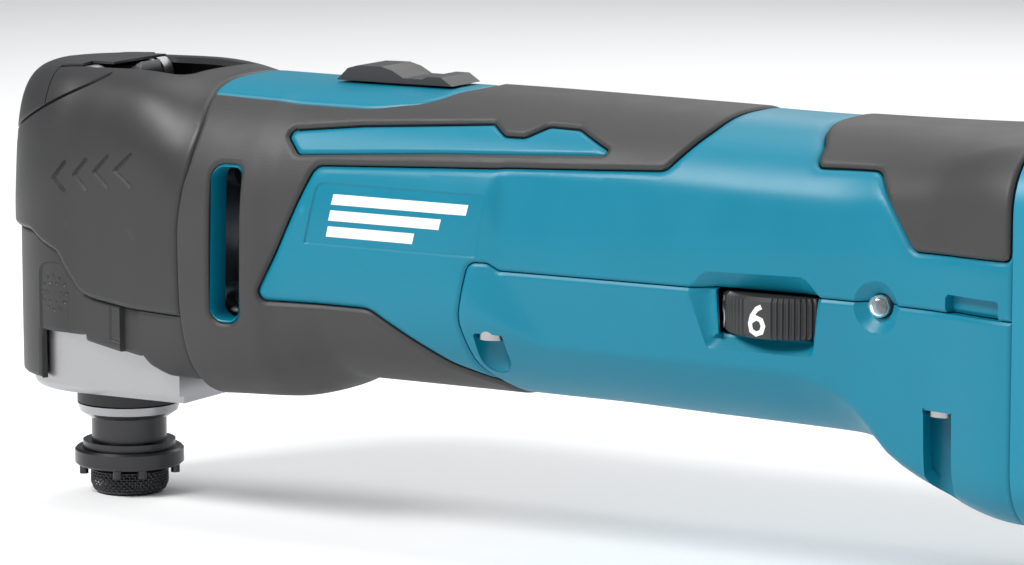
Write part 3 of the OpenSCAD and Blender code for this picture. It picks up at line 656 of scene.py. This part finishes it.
knob_gap = both(outline([(65.5, -9), (65.5, 4.4, 0.8), (93, 4.4, 0.8), (93, -9)], plan=True),
                lambda p, n: 80 - p[:, 2])

barrel = both(behind_head, before_flange)
coloured = both(either(side_panel, slim_panel), outside(rear_patch))
upper_area = both(barrel, coloured, outside(lower_cover))
rear_area = both(barrel, rear_patch)
cover_area = both(barrel, lower_cover)
plate_region = both(barrel, plate_top, outside(knob_gap))
grip_area = both(barrel, outside(either(side_panel, slim_panel)), outside(lower_cover),
                 outside(plate_top), outside(vent), lambda p, n: p[:, 0] - 185)


# ---------- dial window, lamp, pockets and other details of the sides ----------

dial_low, dial_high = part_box("dial")
DIAL = (np.array(dial_low) + np.array(dial_high)) / 2 / MM
DIAL_R = (dial_high[0] - dial_low[0]) / 2 / MM
LAMP = (214.9, 59.2)             # indicator lens in the side view

dial_recess = outline([(168.8, 59.8, 1), (173.2, 63.8, 2), (197.4, 64.2, 2), (201.4, 59.8, 1),
                       (199.0, 46.7, 1.6), (173.4, 46.7, 1.6)], only_side=-1)
dial_window = outline([(175.2, 59.5), (176.2, 49.7, 0.6), (199.2, 49.7, 0.6), (200.4, 59.5)], only_side=-1)
lamp_cone, lamp_hole = (outline([(LAMP[0] + r * math.cos(a), LAMP[1] + r * math.sin(a))
                                 for a in np.linspace(0, 2 * math.pi, steps, endpoint=False)], only_side=-1)
                        for r, steps in ((5.7, 36), (2.7, 24)))
rear_slot = outline([(232.6, 63.9, 0.6), (232.6, 58), (246.6, 58), (246.6, 63.9, 0.6)])
name_frame = outline([(73.5, 76.8, 2), (70.3, 62.4, 0.5), (116.2, 62.4, 0.5), (118.4, 76.8, 0.5)])


def dial_room(p):
    """Free space between points of the skin and the turning dial."""
    room = np.hypot(p[:, 0] - DIAL[0], p[:, 1] - DIAL[1]) - DIAL_R - 0.45
    level = (np.abs(p[:, 2] - DIAL[2]) < 4.85) & (p[:, 1] < 0)
    return np.where(level, np.maximum(room, 0.9), 99.0)


def dial_depth(p, n):
    """The sloping sides of the dial's recess."""
    from_edge = np.maximum(-dial_recess(p, n), 0)
    to_window = np.maximum(dial_window(p, n), 0)
    share = from_edge / np.maximum(from_edge + to_window, 1e-6)
    deep = np.minimum(3.0, np.maximum(dial_room(p) - 0.9, 0.3))
    return -deep * np.clip(share * 1.15, 0, 1)


def housing_wall(p, n):
    """Wall of the two housing halves, thicker behind the dial's recess and clear of the dial."""
    return np.minimum(np.maximum(2.6, 1.5 - dial_depth(p, n)), dial_room(p))


def lamp_depth(p, n):
    return -2.4 * np.clip(-lamp_cone(p, n) / 3.0, 0, 1)


def name_depth(p, n):
    return -0.35 * np.clip(-name_frame(p, n) / 0.4, 0, 1)


def slot_depth(p, n):
    return -2.2 * np.clip(-rear_slot(p, n) / 0.35, 0, 1)


SCREW_WELLS = [(118.5, 45.2, 27.6), (230.5, 38.2, 30.0)]   # x, roof and half spacing
WELL_R = 3.7


def well(x, roof, half):
    """Where one pair of screw wells opens through the cover's sides."""
    mouth = outline([(x - WELL_R, half), (x - WELL_R, half + 20), (x + WELL_R, half + 20), (x + WELL_R, half)]
                    + [(x + WELL_R * math.cos(a), half - WELL_R * math.sin(a))
                       for a in np.linspace(0.2, math.pi - 0.2, 12)], plan=True)
    return both(mouth, lambda p, n: p[:, 2] - roof)


wells = either(*[well(*spot) for spot in SCREW_WELLS])


# ---------- the barrel's mouldings ----------

def body_skin():
    """The skin of barrel and tail, cut along every line that its mouldings need."""
    stations = np.linspace(34, FLANGE_X + 1, 196)
    around = np.linspace(0, 2 * math.pi, 200, endpoint=False)
    x, turn = np.meshgrid(stations, around, indexing="ij")
    origin = np.stack([x.ravel(), np.zeros(x.size), np.full(x.size, SEAM_Z)], 1)
    aim = np.stack([np.zeros(x.size), -np.cos(turn.ravel()), np.sin(turn.ravel())], 1)
    skin = Skin(origin, aim, grid(len(stations), len(around), wrap=True)[:, ::-1])
    pairs = [r for ring in RINGS for r in (-ring, ring)]
    for line in (lower_cover, slim_panel, side_panel, rear_patch, plate_area, vent):
        skin.cut(line, *pairs)
    skin.cut(plate_area, -1.6)
    skin.cut(side_panel, -PANEL_BEVEL)
    skin.cut(slim_panel, -PANEL_BEVEL * 0.75)
    skin.cut(behind_head, *[-r for r in RINGS])
    skin.cut(before_flange, *[-r for r in RINGS])
    skin.cut(knob_gap, GAP)
    skin.cut(dial_recess, 0.0, -0.5)
    skin.cut(dial_window, GAP, 0.6)
    skin.cut(lamp_cone, 0.0, -1.5)
    skin.cut(lamp_hole, GAP)
    skin.cut(rear_slot, 0.0, -0.35)
    skin.cut(name_frame, 0.0, -0.4)
    skin.cut(wells, GAP, 0.5)
    return skin


def total(*lifts):
    """The sum of several lifts."""
    return lambda p, n: sum(lift(p, n) for lift in lifts)


def raised(height):
    return lambda p, n: np.full(len(p), float(height))


def panel_slope(region, width, depth=0.35):
    """The sloping border of a coloured panel."""
    return lambda p, n: -depth * np.clip(1 + region(p, n) / width, 0, 1)


def build_barrel():
    skin = body_skin()
    teal, rubber = FINISHES["body_plastic"], FINISHES["grip_rubber"]
    holes = outside(either(dial_window, lamp_hole))
    panels = both(side_panel, outside(rear_patch))
    upper = shell("upper_housing_shell", skin, both(upper_area, holes),
                  total(lip(upper_area), panel_slope(panels, PANEL_BEVEL), dial_depth, lamp_depth,
                        name_depth, slot_depth), housing_wall, teal)
    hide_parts("upper_housing")
    cover = shell("lower_cover_shell", skin, both(cover_area, holes, outside(wells)),
                  total(lip(cover_area), dial_depth, lamp_depth), housing_wall, teal)
    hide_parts("lower_cover")
    grip = shell("front_grip_overmould", skin, grip_area, total(lip(grip_area, 1.05, 0.7), raised(0.4)),
                 1.4, rubber)
    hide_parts("front_grip")
    patch = shell("rear_grip_overmould", skin, rear_area, total(lip(rear_area, 1.05, 0.7), raised(0.4)),
                  1.4, rubber)
    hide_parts("rear_grip")
    plate = shell("switch_plate_cover", skin, plate_region,
                  total(lip(plate_region), panel_slope(plate_area, 1.6, 0.3)), 1.4, teal)
    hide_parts("switch_plate")


# ---------- head ----------

LEVER_EDGE, LEVER_SLOPE = 92.7, 0.5    # the lever's lower edge in the side view
LEVER_BACK = -7.3                      # end of the lever's full width
LEVER_TAIL = 4.5                       # end of its narrow tail over the head's recess
TAIL_HALF = 10.9                       # half width of that tail
LEVER_EARS = -1.6                      # end of the tail's edges above the pin's ears


def above_lever_line(p, n):
    """Below zero on the lever's side of its lower edge."""
    return (LEVER_EDGE + LEVER_SLOPE * p[:, 0] - p[:, 2]) / math.hypot(1, LEVER_SLOPE)


def lever_back(p, n):
    return p[:, 0] - LEVER_BACK


head_side = outline([(-40, 59.1), (-11.5, 59.1, 4), (-7.5, 56.8, 3), (-2.2, 54.6, 3), (-0.4, 51.4, 6),
                     (4.2, 45.5, 5), (8, 44.4, 6), (20, 43.2), (60, 42.4), (60, 112), (-40, 112)])
head_recess = both(outline([(-30, -9), (-30, 15.6), (28, 15.6, 4), (28, -9)], plan=True),
                   lambda p, n: 80 - p[:, 2])


def before_seam(p, n):
    return p[:, 0] - head_seam(p[:, 2])


lever_zone = both(above_lever_line, lever_back)
head_whole = both(before_seam, head_side, outside(head_recess))
head_area = both(head_whole, outside(both(above_lever_line, lever_back)))

CHEVRONS = [(-2.6, 72.4, 3.2, 3.8), (3.5, 73.5, 3.8, 3.9), (10, 74.6, 4.3, 4.1), (16.6, 75.5, 5.2, 4.2)]
chevrons = strokes([[(x + w, z + h), (x, z), (x + w, z - h * 0.8)] for x, z, w, h in CHEVRONS])


def chevron_depth(p, n):
    """Engraved marks that point to the lever."""
    return -0.6 * np.clip(1 - (chevrons(p, n) - 0.12) / 0.5, 0, 1)


def lever_groove(p, n):
    """The lever's edge, carried on over the head as a groove."""
    near = np.clip(1 - (np.abs(above_lever_line(p, n)) - 0.15) / 0.25, 0, 1)
    return -0.9 * near * (p[:, 0] < 9.5)


def brow(p, n):
    """The sides of the head lean in a little above a shallow crease."""
    crease = 82.2 - 0.0045 * (p[:, 0] - 40) ** 2
    return -0.07 * soft_positive(p[:, 2] - crease, 1.2) * np.abs(n[:, 1])


# The black shroud below the head cover
shroud_side = outline([(-40, 23.5), (-9.5, 23.5), (-9.5, 35), (5, 35), (5, 33.8), (22, 31.4), (23.6, 32.4, 2),
                       (26, 30.2, 3), (31, 27.4, 3), (37.8, 26), (60, 26), (60, 62), (-40, 62)])
shroud_area = both(before_seam, shroud_side, outside(head_side))
column = outline([(16.3, 26), (16.3, 43.6), (22.8, 43.6), (22.8, 36), (24, 32, 2), (25.6, 29, 2), (25.6, 26)])
arch = outline([(-9.8, 34), (-9.8, 50.6, 2.5), (-6.5, 51.9, 3), (-1.8, 51.9, 2), (0.4, 45.8, 1), (0.2, 34)])
rib = strokes([[(13.4, 43.6), (13.4, 35), (16, 34.6)]])
DOTS = [(-4.6 + r * math.cos(a), 44.6 + r * math.sin(a))
        for r, count in ((2.5, 6), (4.1, 12)) for a in np.linspace(0, 2 * math.pi, count, endpoint=False)]
dots = strokes([[d, d] for d in DOTS])


def shroud_lift(p, n):
    """The shroud lies deeper than the head cover, with its own recesses."""
    deep = np.clip(-column(p, n) / 0.4, 0, 1)
    proud = np.clip(np.minimum(column(p, n), p[:, 0] - 20) / 0.5, 0, 1)
    panel = np.clip(-arch(p, n) / 0.35, 0, 1)
    marks = np.clip(1 - (dots(p, n) - 0.25) / 0.3, 0, 1) + np.clip(1 - (rib(p, n) - 0.1) / 0.3, 0, 1)
    return -1.4 - 1.3 * deep + 0.7 * proud - 0.4 * panel - 0.3 * marks


def head_skin():
    """The skin of the head, cut along the lines of its mouldings."""
    centre = np.array([8.0, 0.0, SEAM_Z])
    polar = np.radians(np.linspace(36, 178.5, 84))
    around = np.linspace(0, 2 * math.pi, 200, endpoint=False)
    lean, turn = np.meshgrid(polar, around, indexing="ij")
    aim = np.stack([np.cos(lean), -np.sin(lean) * np.cos(turn), np.sin(lean) * np.sin(turn)], -1)
    aim = np.concatenate([aim.reshape(-1, 3), [[-1.0, 0.0, 0.0]]])
    origin = np.tile(centre, (len(aim), 1))
    skin = Skin(origin, aim, grid(len(polar), len(around), wrap=True, pole=True))
    skin.refine(chevrons, 0.9, 0.5)
    skin.refine(either(dots, rib), 0.7, 0.5)
    pairs = [r for ring in RINGS for r in (-ring, ring)]
    skin.cut(head_side, *pairs)
    skin.cut(head_recess, *pairs)
    skin.cut(before_seam, *[-r for r in RINGS])
    skin.cut(above_lever_line, *pairs)
    skin.cut(lever_back, -GAP, GAP)
    skin.cut(shroud_side, *[-r for r in RINGS])
    skin.cut(column, 0.0, -0.4, 0.5)
    skin.cut(arch, 0.0, -0.35)
    skin.cut(chevrons, 0.12, 0.62)
    return skin


def lever_tail():
    """A thin plate that carries the lever's cap on over the recess, shorter above the pin's two ears."""
    ears = np.linspace(TAIL_HALF + 0.2, 15.2, 7)
    across = np.concatenate([-ears[::-1], np.linspace(-TAIL_HALF, TAIL_HALF, 27), ears])
    along, y = np.meshgrid(np.linspace(0, 1, 14), across, indexing="ij")
    end = np.where(np.abs(y) < TAIL_HALF + 0.1, LEVER_TAIL, LEVER_EARS)
    x = LEVER_BACK - 0.3 + (end - LEVER_BACK + 0.3) * along
    start = np.stack([x.ravel(), y.ravel(), np.full(x.size, 80.0)], 1)
    top = cast(start, np.tile([0.0, 0.0, 1.0], (x.size, 1)))
    return plate_between(top, top - (0, 0, 0.55), x.shape)


def plate_between(top, bottom, shape):
    """Corners and faces of a closed plate between two grids of points."""
    count = len(top)
    index = np.arange(count).reshape(shape)
    quads = np.stack([index[:-1, :-1], index[1:, :-1], index[1:, 1:], index[:-1, 1:]], -1).reshape(-1, 4)
    edge = np.concatenate([index[:, 0], index[-1, 1:], index[-2::-1, -1], index[0, -2:0:-1]])
    after = np.roll(edge, -1)
    walls = np.stack([after, edge, edge + count, after + count], 1)
    return np.concatenate([top, bottom]), np.concatenate([quads, quads[:, ::-1] + count, walls]).tolist()


def build_head():
    skin = head_skin()
    trim = FINISHES["trim_plastic"]
    cover = shell("head_cover_moulding", skin, head_area,
                  total(lip(head_whole, 1.05, 0.6), chevron_depth, lever_groove, brow), 2.2, trim)
    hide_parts("head_cover")

    lever = shell("clamp_lever_cap", skin, lever_zone,
                  total(lip(above_lever_line, 0.8, 0.3), lever_groove, brow), 2.0, trim,
                  body="clamp_lever", extra=[lever_tail()])
    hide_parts("clamp_lever")
    shroud = shell("front_shroud_moulding", skin, shroud_area, total(lip(shroud_area, 0.8, 0.4), shroud_lift),
                   3.3, trim)
    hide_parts("front_shroud")


PIN = (0.0, 94.0)                # lever pin in the side view


def build_lever_cam():
    """The steel hub, cam and arm under the lever."""
    bore, hub, half = 2.55, 3.5, 10.8
    x, z = PIN
    corners, faces = lathe([(bore, -half), (hub, -half), (hub, half), (bore, half)], 64, (x, 0, z),
                           axis=1, closed=True)
    turn = np.radians(np.arange(-30, 125, 5))
    reach = 5.5 + 3 * np.clip(np.degrees(turn) / 120, 0, 1)
    outer = [(x + r * math.sin(a), z - r * math.cos(a)) for a, r in zip(turn, reach)]
    inner = [(x + 2.9 * math.sin(a), z - 2.9 * math.cos(a)) for a in turn[::-1]]
    arm = [(x - 16, 91.5), (x - 2.8, 91.5), (x - 2.8, 94.6), (x - 16, 94.6)]
    parts = [prism(outer + inner, -4, 4), prism(arm, -10, 10)]
    piece = solid("lever_cam_steel", corners, [f[::-1] for f in faces], FINISHES["bright_steel"],
                  "clamp_lever", parts)
    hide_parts("lever_cam")


# ---------- turned and small pieces ----------

def knurl(turn, r, h):
    """Diamond knurling round the holder bolt's head."""
    u, v = turn * 42 / (2 * math.pi), h / 1.35
    groove = np.maximum(*[np.clip(1 - np.abs((u + s * v) % 1 - 0.5) / 0.3, 0, 1) for s in (1, -1)])
    band = ramp(h, -6.6, -6.0) * (1 - ramp(h, -1.7, -1.25)) * (r > 8)
    return r - 0.38 * groove * band


def build_bolt():
    floor = cad_low[2] / MM
    head_r = 9.45
    heights = np.linspace(floor + 1.0, -1.3, 34)
    side = [(min(head_r, 8.85 + (h - floor - 1) * 0.4), h) for h in heights]
    profile = [(0, floor), (6.9, floor), (7.3, floor + 0.05), (8.5, floor + 0.6), *side, (head_r - 0.4, -0.9),
               (6.6, -0.9), (6.6, 1.0), (4, 1.0), (4, 29)]
    for i in range(6):
        z = 29.4 + 1.6 * i
        profile += [(3.55, z), (3.55, z + 0.6), (4, z + 0.8), (4, z + 1.2)]
    profile += [(3.2, 39.6), (0, 39.6)]
    bolt = solid("holder_bolt_knurled", *lathe(profile, 336, radius=knurl), FINISHES["blackened_steel"],
                 "holder_bolt")
    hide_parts("holder_bolt")


DIGIT_TURN = math.radians(50)    # step between two numbers of the dial
DIGITS = {
    6: [[(0.52, 0.97), (0.34, 0.88), (0.14, 0.62), (0.06, 0.34), (0.12, 0.1), (0.32, 0.0), (0.53, 0.08),
         (0.6, 0.3), (0.52, 0.5), (0.32, 0.57), (0.13, 0.45)]],
    5: [[(0.54, 1), (0.14, 1), (0.09, 0.55), (0.32, 0.63), (0.53, 0.52), (0.6, 0.3), (0.52, 0.08), (0.28, 0),
         (0.06, 0.1)]],
    4: [[(0.46, 0), (0.46, 1), (0.03, 0.3), (0.64, 0.3)]],
    3: [[(0.07, 0.88), (0.3, 1), (0.52, 0.9), (0.55, 0.72), (0.44, 0.57), (0.26, 0.53), (0.47, 0.48),
         (0.6, 0.28), (0.52, 0.08), (0.3, 0), (0.05, 0.12)]],
    2: [[(0.07, 0.8), (0.15, 0.95), (0.33, 1), (0.52, 0.92), (0.57, 0.75), (0.48, 0.55), (0.06, 0),
         (0.62, 0)]],
    1: [[(0.14, 0.78), (0.38, 1), (0.38, 0)]],
}


def ribbon(path, half, bend, low, high):
    """Corners and faces of a raised ribbon along a flat path; bend(u, v, height) places it."""
    q = np.array(path, float)
    step = np.diff(q, axis=0)
    step /= np.linalg.norm(step, axis=1, keepdims=True)
    ahead, back = np.vstack([step, step[-1:]]), np.vstack([step[:1], step])
    across = ahead + back
    across = np.stack([-across[:, 1], across[:, 0]], 1)
    across /= np.linalg.norm(across, axis=1, keepdims=True)
    stretch = 1 / np.clip(np.abs(across[:, 0] * -back[:, 1] + across[:, 1] * back[:, 0]), 0.6, 1)
    left, right = q + across * half * stretch[:, None], q - across * half * stretch[:, None]
    corners = np.concatenate([bend(side[:, 0], side[:, 1], h) for h in (high, low) for side in (left, right)])
    n = len(q)
    faces = []
    for i in range(n - 1):
        faces += [[i, n + i, n + i + 1, i + 1], [2 * n + i, 2 * n + i + 1, 3 * n + i + 1, 3 * n + i],
                  [i, i + 1, 2 * n + i + 1, 2 * n + i], [n + i, 3 * n + i, 3 * n + i + 1, n + i + 1]]
    faces += [[0, 2 * n, 3 * n, n], [n - 1, 2 * n - 1, 4 * n - 1, 3 * n - 1]]
    return corners, faces


def build_dial():
    low, high = DIAL[2] - 4.5, DIAL[2] + 4.5
    facing = [-math.pi / 2 - 0.1 - (6 - k) * DIGIT_TURN for k in DIGITS]

    def ribs(turn, r, h):
        flat = np.minimum.reduce([np.abs((turn - a + math.pi) % (2 * math.pi) - math.pi) for a in facing])
        wave = np.clip(1.4 * np.sin(turn * 78) - 0.1, -1, 1) * 0.5 + 0.5
        return np.where(r > 15, r - 0.4 * wave * ramp(flat, 0.18, 0.2), r)
    corners, faces = lathe([(2.05, low), (15.2, low), (DIAL_R, low + 0.8), (DIAL_R, high - 0.8), (15.2, high),
                            (2.05, high)], 624, (DIAL[0], DIAL[1], 0), radius=ribs, closed=True)
    dial = solid("dial_ribbed", corners, faces, FINISHES["trim_plastic"], "dial")
    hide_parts("dial")
    size, parts = 6.2, []
    for k, angle in zip(DIGITS, facing):
        def bend(u, v, r, angle=angle):
            turn = angle + (u - 0.33) * size / DIAL_R
            x, y = DIAL[0] + r * np.cos(turn), DIAL[1] + r * np.sin(turn)
            return np.stack([x, y, DIAL[2] + (v - 0.55) * size], 1)
        parts += [ribbon(path, 0.085, bend, DIAL_R - 0.12, DIAL_R + 0.05) for path in DIGITS[k]]
    solid("dial_numbers", *parts[0], FINISHES["print_white"], "dial", parts[1:])


def build_lens():
    x, z = LAMP
    y = side_point(x, z)[0][1]
    lens, faces = lathe([(0, 24), (2.45, 24), (2.45, -y - 1.4), (2.2, -y - 0.8), (1.5, -y - 0.35),
                         (0.7, -y - 0.16), (0, -y - 0.1)], 48, (x, 0, z), axis=1)
    piece = solid("indicator_lens_dome", lens, [f[::-1] for f in faces], FINISHES["clear_lens"],
                  "housing")
    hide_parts("indicator_lens")


def build_wells():
    """Walls and roofs of the four screw wells, ending at the skin of the lower cover."""
    parts = []
    for x, roof, half in SCREW_WELLS:
        for side in (-1, 1):
            rings = []
            reach = np.abs(side_point([x - WELL_R, x + WELL_R], roof + 0.6, side)[:, 1]) - 0.5
            for r in (WELL_R + 0.13, WELL_R + 1.0):
                turn = np.linspace(math.pi, 2 * math.pi, 25)
                px = np.concatenate([[x - r] * 5, x + r * np.cos(turn), [x + r] * 5])
                py = np.concatenate([np.linspace(reach[0], half + 0.4, 5), half + r * np.sin(turn),
                                     np.linspace(half + 0.4, reach[1], 5)])
                start = np.stack([px, side * py, np.full(len(px), roof + 0.6)], 1)
                drop = cast(start, np.tile([0.0, 0.0, -1.0], (len(px), 1)))[:, 2] + 0.3
                rings.append((px, side * py, np.minimum(drop, roof - 0.3)))
            (xi, yi, zi), (xo, yo, zo) = rings
            n = len(xi)
            level = np.full(n, roof + 0.5)
            loops = np.stack([np.stack([xi, yi, zi], 1), np.stack([xo, yo, zo], 1),
                              np.stack([xo, yo, level], 1), np.stack([xi, yi, level], 1)], 1)
            index = np.arange(4 * n).reshape(n, 4)
            faces = [[index[k, c], index[k, (c + 1) % 4], index[k + 1, (c + 1) % 4], index[k + 1, c]]
                     for k in range(n - 1) for c in range(4)]
            faces += [list(index[0][::-1]), list(index[-1])]
            lid = np.stack([xo, yo, np.full(n, roof + 0.05)], 1)
            lid_faces = [list(range(n)), list(range(2 * n - 1, n - 1, -1))]
            lid_faces += [[(k + 1) % n, k, k + n, (k + 1) % n + n] for k in range(n)]
            for corners, made in ((loops.reshape(-1, 3), faces),
                                  (np.concatenate([lid, lid + (0, 0, 0.8)]), lid_faces)):
                parts.append((corners, made if side > 0 else [f[::-1] for f in made]))
    solid("screw_well_linings", *parts[0], FINISHES["body_plastic"], "housing", parts[1:])


def build_vents():
    """Teal ducts behind the two side vents."""
    loop = rounded([(45.6, 79.4, 3.2), (45.2, 42.4, 3.2), (53.2, 42.4, 3.2), (53.8, 79.4, 1.8)], 6)
    middle = loop.mean(0)
    parts = []
    for side in (-1, 1):
        rows = []
        for out, deep in ((-0.25, 0.5), (-0.45, 0.15), (-0.7, 0.35), (-0.7, 6.5), (0.6, 6.5), (0.6, 1.2)):
            away = loop - middle
            away /= np.linalg.norm(away, axis=1, keepdims=True)
            q = loop + away * out
            p = side_point(q[:, 0], q[:, 1], side)
            p[:, 1] -= side * deep
            rows.append(p)
        n = len(loop)
        corners = np.concatenate(rows)
        faces = []
        for row in range(len(rows)):
            low, high = row * n, ((row + 1) % len(rows)) * n
            for k in range(n):
                j = (k + 1) % n
                face = [low + k, low + j, high + j, high + k]
                faces.append(face if side > 0 else face[::-1])
        parts.append((corners, faces))
    solid("side_vent_ducts", *parts[0], FINISHES["body_plastic"], "housing", parts[1:])


def build_bars():
    """Three plain slanted bars in the sunken frame on each side."""
    parts = []
    for z0, z1, x0, x1 in ((71.9, 74.3, 77.5, 113.5), (68.2, 70.6, 76.9, 106.5), (64.5, 66.9, 76.3, 99.5)):
        for side in (-1, 1):
            u, v = np.meshgrid(np.linspace(0, 1, 25), np.linspace(0, 1, 4), indexing="ij")
            z = z0 + (z1 - z0) * v
            x = x0 + (x1 - x0) * u + 0.24 * (z - z0)
            p = side_point(x, z, side)
            n = normals(p)
            corners, faces = plate_between(p - n * 0.27, p - n * 0.6, x.shape)
            parts.append((corners, faces if side < 0 else [f[::-1] for f in faces]))
    solid("side_bars", *parts[0], FINISHES["print_white"], "housing", parts[1:])


# ---------- studio ----------

def build_studio():
    floor = bpy.data.meshes.new("studio_floor")
    z = cad_low[2]
    floor.from_pydata([(-6, -6, z), (6, -6, z), (6, 6, z), (-6, 6, z)], [], [(0, 1, 2, 3)])
    obj = bpy.data.objects.new("studio_floor", floor)
    bpy.context.scene.collection.objects.link(obj)
    floor.materials.append(finish_of("floor_paper", (0.95, 0.95, 0.95), 0.9, grain=0.0, shade=0.0))

    def area(name, place, target, size, power, colour=(1, 1, 1)):
        light = bpy.data.lights.new(name, "AREA")
        light.shape, light.size, light.size_y = "RECTANGLE", size[0], size[1]
        light.energy, light.color = power, colour
        lamp = bpy.data.objects.new(name, light)
        lamp.location = place
        lamp.rotation_euler = (Vector(target) - Vector(place)).to_track_quat("-Z", "Y").to_euler()
        bpy.context.scene.collection.objects.link(lamp)

    middle = (0.12, 0, 0.05)
    area("key_softbox", (-0.3, -0.95, 1.1), middle, (0.7, 0.5), 24)
    area("fill_softbox", (1.1, -0.9, 0.6), middle, (0.8, 0.8), 0.6)
    area("top_softbox", (0.15, 0.35, 1.3), middle, (1.4, 0.9), 11)
    area("back_softbox", (0.1, 1.1, 0.7), middle, (1.2, 0.6), 4)
    world = bpy.data.worlds.new("studio")
    world.use_nodes = True
    world.node_tree.nodes["Background"].inputs["Color"].default_value = (0.95, 0.97, 1, 1)
    world.node_tree.nodes["Background"].inputs["Strength"].default_value = 0.24
    bpy.context.scene.world = world
    bpy.context.scene.view_settings.view_transform = "Standard"

    camera = bpy.data.cameras.new("photo_camera")
    camera.sensor_width, camera.lens = 36, 4730 / 1024 * 36
    camera.clip_start, camera.clip_end = 0.05, 30
    obj = bpy.data.objects.new("photo_camera", camera)
    obj.location = (0.6446, -0.9309, 0.2157)
    obj.rotation_euler = (math.radians(90 - 8.65), 0, math.radians(30))
    bpy.context.scene.collection.objects.link(obj)
    bpy.context.scene.camera = obj


paint_cad_nodes()
build_barrel()
build_head()
build_lever_cam()
build_bolt()
build_dial()
build_lens()
build_wells()
build_vents()
build_bars()
build_studio()
